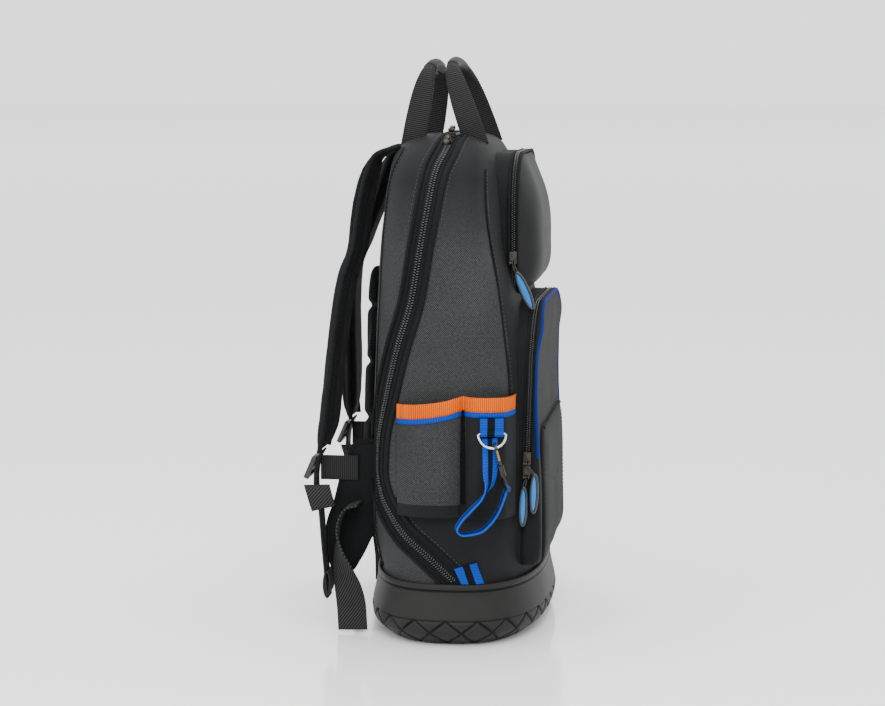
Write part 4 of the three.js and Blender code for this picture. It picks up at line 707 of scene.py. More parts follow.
def makeTub():
    count = tub["repeats"] * tub["perRepeat"]
    wide, deep, low, tread = tub["wide"], tub["deep"], tub["treadLow"], tub["tread"]

    def edgeAt(angles):
        c, s = np.cos(angles), np.sin(angles)
        reach = 2 / tub["square"]
        return wide * np.sign(c) * np.abs(c) ** reach, deep * np.sign(s) * np.abs(s) ** reach
    angles = np.linspace(0, 2 * pi, 6000)
    run = runAlong(np.stack(edgeAt(angles), axis=1))
    px, py = edgeAt(np.interp(np.arange(count) / count * run[-1], run, angles))
    place = np.arange(count) / tub["perRepeat"] * 2  # in half repeats
    toEven = np.abs((place + 1) % 2 - 1)
    pitch = run[-1] / (2 * tub["repeats"])
    slope = 1 / np.hypot(1 / pitch, 1 / (0.5 * (tread - low)))
    rows, grooveShade = [], []
    for high, inset in tubProfile():
        cut = np.zeros(count)
        if high < tub["treadEnd"]:  # crossing grooves, and one that runs round above them
            away = np.abs(toEven - 2 * abs((high - low) / (tread - low) - 0.5)) * slope
            cut = np.exp(-(away / tub["grooveHalf"]) ** 2)
            cut = np.maximum(cut, 0.8 * bell((high - tread) / 0.9))
        # Painted shade: the tread grooves and the step under the lip are darkened in colour through the
        # groove value
        rim = 0.9 * bell((high - tub["step"]) / 0.9)
        grooveShade.append(np.clip(1.25 * np.maximum(cut, rim) - 0.2, 0, 1))
        if high < tub["treadEnd"]:
            cut = cut * tub["groove"] * (0.5 if high < low else 1) - tub["plain"]
        rows.append(np.stack([px / wide * (wide - inset - cut), py / deep * (deep - inset - cut),
                              np.full(count, high)], axis=1))
    shape = gridSkin("tubMoulding", rows, roundRows=True)
    field = shape.data.attributes.new("groove", "FLOAT", "POINT")
    field.data.foreach_set("value", [float(d) for d in np.concatenate(grooveShade)])
    mesh = bmesh.new()
    mesh.from_mesh(shape.data)
    mesh.verts.ensure_lookup_table()
    foot = [mesh.verts[j] for j in range(count)]
    last = [mesh.verts[(len(rows) - 1) * count + j] for j in range(count)]

    def fan(ring, height):
        middle = mesh.verts.new((0, 0, height * 0.001))
        for j in range(count):
            mesh.faces.new((ring[j], middle, ring[(j + 1) % count]))
    fan(foot, 0)
    for high, inset in tub["inside"]:
        ring = []
        for x, y in zip(px * (1 - inset / wide), py * (1 - inset / deep)):
            ring.append(mesh.verts.new((x * 0.001, y * 0.001, high * 0.001)))
        for j in range(count):
            k = (j + 1) % count
            mesh.faces.new((last[j], last[k], ring[k], ring[j]))
        last = ring
    fan(last, tub["floor"])
    bmesh.ops.recalc_face_normals(mesh, faces=mesh.faces)
    mesh.to_mesh(shape.data)
    mesh.free()
    shape.data.update()
    shape.data.polygons.foreach_set("use_smooth", [True] * len(shape.data.polygons))
    return shape


settle(makeTub(), mouldedRubber, ["base_tub"])
print("tub made")


# Pockets on the front

# An outline in x and z, from the lower right corner round; insets above and below follow the side's
def pocketOutline(pocket, side=0.0, top=None, bottom=None, corner=14, flats=8):
    top = side if top is None else top
    bottom = side if bottom is None else bottom
    x, zTop, zLow = pocket["half"] - side, pocket["high"] - top, pocket["low"] + bottom
    room = min(x, (zTop - zLow) / 2.2)
    rTop = max(1, min(pocket["topRadius"] - min(side, top) / 2, room))
    rLow = max(1, min(pocket["lowRadius"] - min(side, bottom) / 2, room))
    points = []

    def turn(cx, cz, radius, start):
        for i in range(corner + 1):
            angle = start + pi / 2 * i / corner
            points.append((cx + radius * cos(angle), cz + radius * sin(angle)))

    def straight(a, b):
        for i in range(1, flats):
            points.append((a[0] + (b[0] - a[0]) * i / flats, a[1] + (b[1] - a[1]) * i / flats))
    turn(x - rLow, zLow + rLow, rLow, -pi / 2)
    straight((x, zLow + rLow), (x, zTop - rTop))
    turn(x - rTop, zTop - rTop, rTop, 0)
    straight((x - rTop, zTop), (-x + rTop, zTop))
    turn(-x + rTop, zTop - rTop, rTop, pi / 2)
    straight((-x, zTop - rTop), (-x, zLow + rLow))
    turn(-x + rLow, zLow + rLow, rLow, pi)
    straight((-x + rLow, zLow), (x - rLow, zLow))
    return np.array(points)


def upright(outline, depth):
    return np.array([(x, -(depth(x, z) if callable(depth) else depth), z) for x, z in outline])


def zipPlane(pocket, z):  # how far forward the zipper of a pocket lies
    return pocket["plane"] + (z - pocket["level"]) * pocket["lean"]


# The band of cloth from the body's front to a pocket's zipper
def makeGusset(name, node, pocket, gap, rows, depth):
    def rootAt(x, z):
        return min(zipPlane(pocket, z) - 4.2, faceOf(x, z) - 2)

    def away(x, z, t):
        return rootAt(x, z) + (zipPlane(pocket, z) - gap - rootAt(x, z)) * t
    outline = pocketOutline(pocket)
    cloth = [upright(outline, lambda x, z, t=t: away(x, z, t)) for t in np.linspace(0, 1, rows)]
    gusset = gridSkin(name, cloth, roundRows=True)
    crumple(gusset, depth, 34)
    settle(thicken(gusset, 2.2), plainNylon, [node])


coil = dict(pitch=2.3, offset=1.1, tilt=0.2, tooth=(2.9, 1.6, 2.2))


def makeCoil(name, pocket, line):
    centre = np.array([0, -pocket["plane"], (pocket["low"] + pocket["high"]) / 2])

    def outOf(at, along):
        out = np.cross(along, [0, 1, 0])
        return unit(out * np.sign(np.dot(out, at - centre)))
    spots = teethAlong(line, outOf, coil["pitch"], coil["offset"], coil["tilt"])
    settle(beadRow(name, spots, *coil["tooth"], nylonCoil), nylonCoil)


upper = dict(
    half=96.0, low=345.0, high=483.0, topRadius=52.0, lowRadius=26.0, plane=58.5, level=414.0, lean=0.0,
    dome=22.0, tape=7.0, depth=[0, 0.2, 0.42, 0.66, 0.86, 0.96, 1],
    side=[0, 0.022, 0.055, 0.1, 0.18, 0.27, 0.4], top=[0, 0.07, 0.15, 0.245, 0.36, 0.46, 0.56],
    bottom=[0, 0.01, 0.03, 0.06, 0.12, 0.18, 0.27])


def makeUpperPocket():
    plane = upper["plane"]
    start = plane + upper["tape"] / 2 + 0.3
    tall = upper["high"] - upper["low"]
    lines = {key: smoothLine(np.linspace(0, 1, 7), upper[key])
             for key in ("depth", "side", "top", "bottom")}
    rows = [upright(pocketOutline(upper, 2.4), start - 0.1)]
    for t in np.linspace(0, 1, 15):
        insets = [lines[key](t) * tall for key in ("side", "top", "bottom")]
        rows.append(upright(pocketOutline(upper, *insets), start + lines["depth"](t) * upper["dome"]))
    middle = rows[-1].mean(axis=0)
    for t in (0.75, 0.5, 0.25):
        rows.append(middle + (rows[-1] - middle) * (t / (t + 0.25)) + np.array([0, -0.35, 0]))
    shell = gridSkin("upperPocketShell", rows, roundRows=True, closeEnds=True)
    crumple(shell, 0.9, 60)
    settle(shell, mouldedFoam, ["upper_pocket_shell"])
    makeGusset("upperPocketGusset", "upper_pocket_gusset", upper, upper["tape"] / 2, 7, 0.7)
    tape = [upright(pocketOutline(upper, 0.5), plane + d) for d in (-3.4, -1.5, 1.5, 3.4)]
    tape = gridSkin("upperPocketTape", tape, roundRows=True)
    settle(thicken(tape, 1.4), zipperTape, ["upper_pocket_zipper"])
    outline = pocketOutline(upper, -0.3)
    ring = upright(outline, plane)
    makeCoil("upperPocketCoil", upper, np.concatenate([ring, ring[:1]]))
    welts = [upright(outline, plane + d) for d in (-4.6, 4.4)]
    settle(pipeAlong("upperPocketWelts", welts, 1.5, plainNylonCut, closed=True), plainNylonCut)


makeUpperPocket()

lower = dict(
    half=128.0, low=72.0, high=336.0, topRadius=64.0, lowRadius=24.0, plane=78.5, level=248.9, lean=0.03,
    end=163.0, heights=[72, 92, 140, 190, 246, 285, 312, 336],
    fronts=[87.7, 89.6, 89, 87.6, 85.6, 86.2, 89.8, 88.5],
    edge=[(2.4, 0), (0, 0), (0, 0.25), (0.1, 0.5), (0.7, 0.72), (1.9, 0.88), (3.6, 0.97), (6, 1)],
    rings=[10, 16, 24, 34, 46, 60, 75, 90, 105, 118])
lowerFront = smoothLine(lower["heights"], lower["fronts"])


def lowerOpening(inset):  # the part of the outline that the zipper runs along
    line = np.array([p for p in pocketOutline(lower, inset) if p[1] > lower["end"]])
    first = next(i for i, p in enumerate(line) if p[0] > 0)
    return np.concatenate([line[first:], line[:first]])


def makeLowerPocket():
    makeGusset("lowerPocketGusset", "lower_pocket_gusset", lower, 3.6, 6, 0.6)

    def start(z):
        return zipPlane(lower, z) + (3.9 if z > lower["end"] else -3.2)
    rows = []
    for inset, away in lower["edge"]:
        rows.append(upright(pocketOutline(lower, inset),
                            lambda x, z, away=away: start(z) + (lowerFront(z) - start(z)) * away))
    for inset in lower["rings"]:
        rows.append(upright(pocketOutline(lower, inset), lambda x, z, i=inset: lowerFront(z) + 0.01 * i))
    panel = gridSkin("lowerPocketPanel", rows, roundRows=True, closeEnds=True)
    crumple(panel, 1.0, 60)
    settle(panel, plainNylon, ["lower_pocket_panel"])
    line = lowerOpening(0.5)
    tape = [upright(line, lambda x, z, d=d: zipPlane(lower, z) + d) for d in (-3.5, -1.5, 1.5, 3.5)]
    settle(thicken(gridSkin("lowerPocketTape", tape), 1.4), zipperTape, ["lower_pocket_zipper"])
    makeCoil("lowerPocketCoil", lower,
             upright(line * np.array([1.006, 1.0]), lambda x, z: zipPlane(lower, z)))
    welts = [upright(line, lambda x, z, d=d: zipPlane(lower, z) + d) for d in (-4.6, 4.3)]
    settle(pipeAlong("lowerPocketWelts", welts, 1.4, plainNylonCut), plainNylonCut)
    piping = upright(lowerOpening(1.4), lambda x, z: lowerFront(z) - 1.2)
    settle(pipeAlong("lowerPocketPiping", [piping], 2.0, blueTape, sides=10), blueTape,
           ["lower_pocket_piping"])


makeLowerPocket()

patchPocket = dict(
    half=110.0, low=76.0, high=211.0, topRadius=16.0, lowRadius=16.0, seamLow=90.0, seamHigh=204.0,
    rings=[(0, -1.5), (0, 1.6), (0.3, 2.6), (1.2, 3.4), (5, 4.2), (14, 5.2), (26, 5.7), (38, 5.8),
           (50, 5.8), (62, 5.8)])


def makePatchPocket():
    rows = []
    for inset, lift in patchPocket["rings"]:
        rows.append(upright(pocketOutline(patchPocket, inset),
                            lambda x, z, lift=lift: lowerFront(z) + lift))
    panel = gridSkin("frontPatchPocket", rows, roundRows=True, closeEnds=True)
    crumple(panel, 1.2, 48)
    settle(panel, plainNylon, ["front_patch_pocket"])
    x = patchPocket["half"] - 3
    high = patchPocket["high"]
    mouth = [(t, -(lowerFront(high) + 3.2), high - 1.2) for t in np.linspace(-x + 12, x - 12, 30)]
    settle(pipeAlong("patchPocketBinding", [mouth], 1.8, plainNylonCut), plainNylonCut)
    spots = []
    for side in (-1, 1):
        heights = np.linspace(patchPocket["seamLow"], patchPocket["seamHigh"], 40)
        path = np.array([(side * (x - 4), -(lowerFront(z) + 4.6), z) for z in heights])
        spots += stitchSpots(path, lambda at, along: np.array([0, -1.0, 0]))
    settle(beadRow("patchPocketStitches", spots, *stitch["heavy"], paleThread), paleThread)


makePatchPocket()
print("front pockets made")


# Side pockets
pouch = dict(
    back=49.0, length=115.0, low=130.0, top=239.0, rises=9.0, depth=13.0, wall=2.0, binding=12.0, trim=5.0,
    belly=0.42, foot=13.0, split=0.6, middle=0.575, rib=0.28,
    run=[0, 0.05, 0.15, 0.3, 0.44, 0.53, 0.575, 0.62, 0.7, 0.82, 0.93, 1],
    mouth=[0.03, 0.3, 0.75, 0.95, 0.8, 0.45, 0.06, 0.5, 0.85, 0.95, 0.85, 0.03],
    bellies=[0.03, 0.35, 0.85, 1.05, 0.9, 0.5, 0.06, 0.5, 0.9, 1, 0.9, 0.03],
    rise=[0, 0.02, 0.1, 0.3, 0.6, 0.9, 1, 1, 1, 1, 1, 1])
pouchLines = {key: smoothLine(pouch["run"], pouch[key]) for key in ("mouth", "bellies", "rise")}


def pouchRow(run):
    return dict(run=run, y=pouch["back"] - run * pouch["length"],
                mouth=pouchLines["mouth"](run) * pouch["depth"],
                belly=pouchLines["bellies"](run) * pouch["depth"],
                top=pouch["top"] + pouchLines["rise"](run) * pouch["rises"])


def stand(row, z):  # how far the pouch's inner face stands off the body at a height
    drop = (row["top"] - z) / (row["top"] - pouch["low"])
    if drop < pouch["belly"]:
        t = max(0.0, drop / pouch["belly"])
        return 0.35 + row["mouth"] + (row["belly"] - row["mouth"]) * t * t * (3 - 2 * t)
    t = (drop - pouch["belly"]) / (1 - pouch["belly"])
    return 0.35 + row["belly"] * (1 - 0.2 * t)


def pouchPoint(side, row, z, away):
    return (side * sideOf(row["y"], z, away), row["y"], z)


def pouchSkin(name, side, profileOf, runs):
    rows = []
    for run in runs:
        row = pouchRow(run)
        rows.append([pouchPoint(side, row, z, away) for z, away in profileOf(row)])
    return gridSkin(name, rows, roundRows=True, closeEnds=True)


def pouchProfile(row):
    low, top = pouch["low"], row["top"]
    outer = [(z, stand(row, z) + pouch["wall"]) for z in np.linspace(top, low + 3, 15)]
    foot = [(low + 1, stand(row, low) + pouch["wall"] - 0.4), (low, stand(row, low) + pouch["wall"] - 1.5),
            (low, 0.35), (low + 2, 0.35)]
    inner = [(z, stand(row, z)) for z in np.linspace(low + 3, top, 11)]
    return outer + foot + inner


def bindingProfile(row, ripple):
    top = row["top"] + 0.3
    low = row["top"] - pouch["binding"]
    skin = pouch["wall"] + 0.3
    thick = 1.5 + ripple
    points = []
    for z in np.linspace(low, top - 0.6, 6):
        puff = 0.5 * sin(pi * (z - low) / (top - low))
        points.append((z, stand(row, z) + skin + thick + puff))
    edge = stand(row, row["top"])
    points += [(top + 0.9, edge + skin + thick - 0.3), (top + 1.5 + ripple, edge + skin + 0.3),
               (top + 1.6 + ripple, edge + 1), (top + 1.2, edge - 0.2), (top, edge - 0.3),
               (top, edge + skin)]
    points.append((low, stand(row, low) + skin))
    return points


def trimProfile(row):
    top = row["top"] - pouch["binding"] + 0.5
    low = top - pouch["trim"] - 0.6
    skin = pouch["wall"] + 0.2
    return [(top, stand(row, top) + skin), (low, stand(row, low) + skin),
            (low - 0.2, stand(row, low) + skin + 0.7), (low + 0.3, stand(row, low) + skin + 1.2),
            (top, stand(row, top) + skin + 1.2)]


fineRuns = np.unique(np.concatenate([np.linspace(0, 1, 90), np.linspace(0.52, 0.64, 24)]))
bindingRuns = np.linspace(0, 1, 230)
for mark, side in (("l", -1), ("r", 1)):
    wall = pouchSkin(f"sidePocket_{mark}", side, pouchProfile, fineRuns)
    crumple(wall, 0.6, 30, None, (1, 1, 0.5))
    split = pouch["back"] - pouch["split"] * pouch["length"]
    storeField(wall, "panel", lambda x, y, z: min(y - split, z - pouch["low"] - pouch["foot"]))
    settle(wall, ballisticNylon, [f"side_pocket_{mark}"])
    rows = []
    for i, run in enumerate(bindingRuns):  # the ribs are 2 mm apart, four steps to a rib
        ripple = pouch["rib"] * cos(2 * pi * i / 4)
        row = pouchRow(run)
        rows.append([pouchPoint(side, row, z, away) for z, away in bindingProfile(row, ripple)])
    settle(gridSkin(f"pocketBinding_{mark}", rows, roundRows=True, closeEnds=True), orangeGrosgrain,
           [f"pocket_binding_{mark}"])
    settle(pouchSkin(f"pocketTrim_{mark}", side, trimProfile, fineRuns), blueTape,
           [f"pocket_trim_{mark}"])
print("side pockets made")


# Bands: webbing, straps and handles
def bandSection(w, t, r, flats=6, corner=3):  # rounded rectangle, half sizes w and t
    r = min(r, w, t)
    points = []
    for cx, cz, start in ((w - r, t - r, 0), (r - w, t - r, pi / 2), (r - w, r - t, pi),
                          (w - r, r - t, 1.5 * pi)):
        for i in range(corner + 1):
            a = start + pi / 2 * i / corner
            points.append((cx + r * cos(a), cz + r * sin(a)))
        if start in (0, pi):  # the flat that follows has points too
            x, z = points[-1]
            for i in range(1, flats):
                points.append((x + (-cx - x) * i / flats, z))
    return points


# Stations are (x, y, z, across x, across y, across z, width, thickness, rounding)
def bandRows(stations, count, flats=6):
    line = smoothPath(stations, count)
    rows, uvRows = [], []
    run = 0.0
    for i, station in enumerate(line):
        at = station[:3]
        before, after = line[max(0, i - 1)][:3], line[min(count - 1, i + 1)][:3]
        along = unit(after - before)
        across = station[3:6] - along * np.dot(station[3:6], along)
        across = unit(across)
        out = unit(np.cross(along, across))
        if i:
            run += np.linalg.norm(at - line[i - 1][:3])
        section = bandSection(station[6] / 2, station[7] / 2, station[8], flats)
        rows.append([at + across * a + out * b for a, b in section])
        uvs = [(a * 0.001, run * 0.001) for a, b in section]
        uvRows.append(uvs + uvs[:1])
    return np.array(rows), np.array(uvRows)


def band(name, stations, count, flats=6):
    rows, uvRows = bandRows(stations, count, flats)
    return gridSkin(name, rows, roundRows=True, closeEnds=True, uvRows=uvRows)


# Over the seam between the two cells of a side pocket lies a near-black strip: painted shade of the valley
# there
for mark, side in (("l", -1), ("r", 1)):
    row = pouchRow(pouch["middle"])
    stations = []
    for z in np.linspace(row["top"] - 11.5, pouch["low"] + 14, 12):
        x = side * sideOf(row["y"], z, stand(row, z) + pouch["wall"] + 1.8)
        stations.append((x, row["y"], z, 0, 1, 0, 9, 1.6, 0.7))
    settle(band(f"valleyShadeStrip_{mark}", stations, 40), valleyShadeCloth)

# Rows of a strap are its drop, bow and spread, as shares of those named
straps = dict(
    width=62.0, thick=13.0, top=487.0, drop=300.0, root=76.0, bow=62.0, topHalf=56.0, spread=58.0,
    l=[(-0.01, -0.3, 0), (0.02, 0.1, 0.02), (0.09, 0.24, 0.1), (0.19, 0.33, 0.25), (0.32, 0.39, 0.45),
       (0.43, 0.54, 0.62), (0.6, 0.64, 0.85), (0.79, 0.735, 0.96), (0.92, 0.8, 1), (1, 0.88, 1)],
    r=[(-0.01, -0.3, 0), (0.02, 0.1, 0.02), (0.09, 0.26, 0.1), (0.19, 0.43, 0.25), (0.33, 0.72, 0.42),
       (0.45, 0.96, 0.6), (0.63, 1.02, 0.8), (0.8, 1.03, 0.93), (0.93, 1.04, 1), (1, 1.0, 1)])


def strapPoint(side, row):
    drop, bow, spread = row
    return np.array([side * (straps["topHalf"] + spread * straps["spread"]),
                     straps["root"] + bow * straps["bow"], straps["top"] - drop * straps["drop"]])


def strapStations(mark, side, width, thick, shift=0.0, start=0):
    rows = straps[mark]
    stations = []
    for i, row in enumerate(rows):
        end = min(1.0, i / 2, (len(rows) - 1 - i) / 1.5 + 0.55)
        at = strapPoint(side, row)
        here = max(0.45, end)
        stations.append((at[0], at[1] + shift * here, at[2], 1, 0, 0, width * (0.8 + 0.2 * end),
                         thick * here, min(thick * here / 2, 5)))
    return stations[start:]


padJobs = []
for mark, side in (("l", -1), ("r", 1)):
    core = band(f"shoulderStrap_{mark}",
                strapStations(mark, side, straps["width"] - 3, straps["thick"] - 2.5), 90, flats=16)
    padJobs.append(dict(piece=core, voxel=3.6, pressure=4.0, cap=2.5, mark=mark, side=side))

pad = dict(half=104.0, low=150.0, high=376.0, topRadius=24.0, lowRadius=24.0, channel=4.0, pitch=57.0,
           lowest=206.0, sink=4.2)


def makePad():
    def ringOf(inset, lift):
        return np.array([(x, faceOf(x, z, "back") + 0.6 + lift, z) for x, z in pocketOutline(pad, inset)])
    back = [ringOf(inset, 0.0) for inset in (84, 60, 36, 14)]
    edge = [ringOf(4, 0.0), ringOf(2, 0.5), ringOf(1.5, 3.5), ringOf(3, 5.5), ringOf(7, 6.8)]
    face = [ringOf(inset, 7.4) for inset in (14, 24, 36, 50, 66, 84)]
    return gridSkin("backPad", back + edge + face, roundRows=True, closeEnds=True)


padJobs.append(dict(piece=makePad(), voxel=5.0, pressure=4.0, cap=4.0, mark="pad", side=0))


# Foam pads swell against their cover: remeshed, pressed from inside, held to a small travel
def swell(jobs, steps=20):
    scene = bpy.context.scene
    for job in jobs:
        piece = job["piece"]
        shape = piece.modifiers.new("even", "REMESH")
        shape.mode = "VOXEL"
        shape.voxel_size = job["voxel"] * 0.001
        bakeDown(piece)
        job["rest"] = np.array([v.co[:] for v in piece.data.vertices])
        cloth = piece.modifiers.new("swell", "CLOTH")
        cloth.settings.quality = 4
        cloth.settings.use_pressure = True
        cloth.settings.uniform_pressure_force = job["pressure"]
        cloth.settings.effector_weights.gravity = 0
        cloth.settings.tension_stiffness = 12
        cloth.settings.compression_stiffness = 12
        cloth.settings.bending_stiffness = 0.4
        cloth.point_cache.frame_start = 1
        cloth.point_cache.frame_end = steps
    for step in range(1, steps + 1):
        scene.frame_set(step)
    for job in jobs:
        graph = bpy.context.evaluated_depsgraph_get()
        moved = job["piece"].evaluated_get(graph).to_mesh()
        job["moved"] = np.array([v.co[:] for v in moved.vertices])
    for job in jobs:
        job["piece"].modifiers.clear()
        travel = job["moved"] - job["rest"]
        travel -= travel.mean(axis=0)
        size = np.linalg.norm(travel, axis=1)
        cap = job["cap"] * 0.001
        travel *= (np.minimum(size, cap) / np.maximum(size, 1e-9))[:, None]
        for v, at in zip(job["piece"].data.vertices, job["rest"] + travel):
            v.co = at
    scene.frame_set(1)
    for job in jobs:
        finer = job["piece"].modifiers.new("finer", "SUBSURF")
        finer.levels = finer.render_levels = 1
        bakeDown(job["piece"])
        job["piece"].data.polygons.foreach_set("use_smooth", [True] * len(job["piece"].data.polygons))


swell(padJobs)
print("pads swelled")
for job in padJobs:
    mesh = job["piece"].data
    if job["mark"] == "pad":
        for v in mesh.vertices:  # sewn channels across the pad and one down its middle
            x, y, z = v.co * 1000
            if y > faceOf(x, z, "back") + 3:
                levels = [pad["lowest"] + pad["pitch"] * k + 0.12 * abs(x) for k in range(3)]
                cut = max(bell(x / pad["channel"]),
                          *[bell((z - level) / pad["channel"]) for level in levels])
                v.co.y -= pad["sink"] * 0.001 * cut
        settle(job["piece"], spacerMesh, ["back_pad"])
    else:
        mark, side = job["mark"], job["side"]
        settle(job["piece"], spacerMesh, [f"shoulder_strap_{mark}"])
        line = smoothPath(strapStations(mark, side, straps["width"], straps["thick"]), 70)
        rims = []
        for hand in (-1, 1):
            rims.append([(p[0] + hand * (p[6] / 2 - 2.2), p[1], p[2]) for p in line])
        settle(pipeAlong(f"strapBinding_{mark}", rims, 2.6, plainNylonCut), plainNylonCut)
        strip = strapStations(mark, side, 28, 2.2, shift=straps["thick"] / 2 + 0.4, start=3)
        strip = [s[:6] + (25.0, 1.8, 0.8) for s in strip]
        settle(band(f"strapWebbingSewn_{mark}", strip, 60), nylonWebbing)
        spots = []
        for hand in (-1, 1):
            path = np.array([(s[0] + hand * 10.5, s[1] + 1.1, s[2]) for s in smoothPath(strip, 60)])
            spots += stitchSpots(path, lambda at, along: np.array([0, 1.0, 0]))
        settle(beadRow(f"strapStitches_{mark}", spots, *stitch["heavy"], paleThread), paleThread)
print("straps and back pad made")

webbing = dict(width=25.0, drop=150.0, foldTurns=1.35, foldUp=15.0,
               keeper=[(12, 11), (-14, 12), (-20, -10), (4, -16)],
               tail=[(0, 0), (0.1, 0.5), (0.24, 0.6), (0.38, 0.25), (0.6, 0.05), (0.8, -0.15), (1, -0.35)])
tailBow = smoothLine([r[0] for r in webbing["tail"]], [r[1] for r in webbing["tail"]])


def tailPoint(mark, side, drop):
    start = strapPoint(side, straps[mark][-1]) + np.array([0, 0, -0.9])
    return start + np.array([0, tailBow(drop) * straps["thick"], -drop * webbing["drop"]])


def makeTail(mark, side):
    stations = []
    for drop in np.linspace(0, 1, 16):
        at = tailPoint(mark, side, drop)
        stations.append((at[0], at[1], at[2], 1, 0, 0, webbing["width"], 1.9, 0.8))
    settle(band(f"strapTail_{mark}", stations, 60), nylonWebbing, [f"strap_webbing_{mark}"])
    end = tailPoint(mark, side, 1.0)
    fold = []  # the tail's end is folded up twice and tacked
    for t in np.linspace(0, 1, 40):
        turn = 2 * pi * webbing["foldTurns"] * t - pi / 2
        y = end[1] + (4.3 - 2.2 * t) * cos(turn) * 0.9
        z = end[2] + webbing["foldUp"] + (14 - 5 * t) * sin(turn)
        fold.append((end[0], y, z, 1, 0, 0, 25.4, 1.9, 0.8))
    settle(band(f"strapTailFold_{mark}", fold, 60), nylonWebbing)
    middle = tailPoint(mark, side, 0.3)
    middle[0] += side * (webbing["width"] / 2 + 1.0)
    topBack, topFront, lowFront, lowBack = [middle + np.array([0, y, z]) for y, z in webbing["keeper"]]
    grid = []
    for s in np.linspace(0, 1, 12):
        low = lowBack + (lowFront - lowBack) * s
        top = topBack + (topFront - topBack) * s
        grid.append([low + (top - low) * t + np.array([side * 0.8 * sin(pi * t), 0, 0])
                     for t in np.linspace(0, 1, 10)])
    settle(thicken(gridSkin(f"strapKeeper_{mark}", grid), 2.0), twillWebbing)


for mark, side in (("l", -1), ("r", 1)):
    makeTail(mark, side)


# Hard pieces keep their solid's shape, with edges rounded as moulded or cast
def softened(node, name, finish, width, body="pack", segments=2):
    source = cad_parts[node]
    mesh = bmesh.new()
    mesh.from_mesh(source.data)
    bmesh.ops.remove_doubles(mesh, verts=mesh.verts, dist=0.00002)
    bmesh.ops.dissolve_limit(mesh, angle_limit=radians(2), verts=mesh.verts, edges=mesh.edges)
    data = bpy.data.meshes.new(name)
    mesh.to_mesh(data)
    mesh.free()
    piece = newObject(name, data)
    edge = piece.modifiers.new("edge", "BEVEL")
    edge.width = width * 0.001
    edge.segments = segments
    edge.limit_method = "ANGLE"
    edge.angle_limit = radians(32)
    bakeDown(piece)
    piece.data.polygons.foreach_set("use_smooth", [True] * len(piece.data.polygons))
    piece.data.set_sharp_from_angle(angle=radians(40))
    return settle(piece, finish, [node], body)


for mark in ("l", "r"):
    softened(f"ladder_lock_{mark}", f"ladderLock_{mark}", blackAcetal, 1.1, segments=3)

wing = dict(x=110.0, thick=6.0, reach=42.0, low=58.0, high=138.0,
            outline=[(-0.5, 1), (0.25, 0.985), (0.6, 0.78), (0.8, 0.55), (1, 0.34), (0.98, 0.16),
                     (0.75, 0.02), (0.5, 0.03), (0.25, 0.13), (-0.1, 0.33), (-0.5, 0.45)],
            shares=[0.05, 0.35, 0.7, 0.9, 0.965, 0.99, 1.0, 0.99, 0.965, 0.9, 0.7, 0.35, 0.05],
            lifts=[0.96, 1.0, 0.98, 0.85, 0.6, 0.3, 0.0, -0.3, -0.6, -0.85, -0.98, -1.0, -0.96])


def wingPoint(back, high):
    return np.array([body["deep"] * 1.03 + back * wing["reach"], wing["low"] + high * wing["high"]])


def makeWing(mark, side):
    outer = np.array([wingPoint(b, h) for b, h in wing["outline"]])
    curve = smoothPath([(p[0], p[1], 0) for p in np.concatenate([outer, outer[:1]])], 90)[:-1, :2]
    middle = np.array([body["deep"] + 12, wing["low"] + 0.5 * wing["high"]])
    x = side * wing["x"]
    rows = []
    for share, lift in zip(wing["shares"], wing["lifts"]):
        ring = middle + (curve - middle) * share
        rows.append([(x + wing["thick"] / 2 * lift, y, z) for y, z in ring])
    piece = gridSkin(f"hipWing_{mark}", rows, roundRows=True, closeEnds=True)
    crumple(piece, 0.8, 30)
    settle(piece, plainNylonCut, [f"hip_wing_{mark}"])
    edge = [[(x, p[0], p[1]) for p in curve]]
    wingBinding = pipeAlong(f"wingBinding_{mark}", edge, 2.6, plainNylonCut, closed=True)
    settle(wingBinding, plainNylonCut)


# Rows of the waist webbing are back, height and outward shares, and a share of a quarter turn
waist = dict(width=30.0, rows=[
    (0.2, 0.56, 0.52, 0), (0.5, 0.53, 0.52, 0), (0.67, 0.45, 0.52, 0), (0.74, 0.34, 0.52, 0.05),
    (0.72, 0.22, 0.52, 0.25), (0.64, 0.08, 0.48, 0.55), (0.52, -0.08, 0.36, 0.85), (0.46, -0.22, 0.24, 1),
    (0.44, -0.4, 0.14, 1)])


def makeWaist(mark, side):
    face = wing["x"] + wing["thick"] / 2
    stations = []
    for back, high, out, twist in waist["rows"]:
        turn = twist * pi / 2
        stations.append((side * (face + 0.35 + out * waist["width"]), body["deep"] + back * wing["reach"],
                         wing["low"] + high * wing["high"], cos(turn), side * -sin(turn), 0, waist["width"],
                         1.9, 0.8))
    settle(band(f"waistWebbing_{mark}", stations, 90, flats=8), twillWebbing,
           [f"waist_webbing_{mark}"])


def makeAnchor(mark, side):
    face = side * (wing["x"] + wing["thick"] / 2 + 1.4)
    level = wing["low"] + 0.8 * wing["high"]
    tip = tailPoint(mark, side, 0.06)[1] - 1.6
    root = body["deep"] + 0.3 * wing["reach"]
    stations = [(face, root + (tip - root) * t, level, 0, 0, 1, webbing["width"], 1.9, 0.8)
                for t in (0, 0.33, 0.66, 1)]
    settle(band(f"anchorWebbing_{mark}", stations, 24), nylonWebbing, [f"anchor_webbing_{mark}"])


for mark, side in (("l", -1), ("r", 1)):
    makeWing(mark, side)
    makeWaist(mark, side)
    makeAnchor(mark, side)

# Rows of a handle are shares of its half span, its rise, and its roll from flat web to round grip
handles = dict(
    half=65.0, rise=78.0, web=24.0, webThick=3.0, grip=12.0,
    rows=[(1, -0.16, 0), (0.985, 0.12, 0), (0.95, 0.42, 0.1), (0.88, 0.68, 0.35), (0.76, 0.86, 0.75),
          (0.56, 0.95, 1), (0.3, 0.985, 1), (0, 1, 1)])


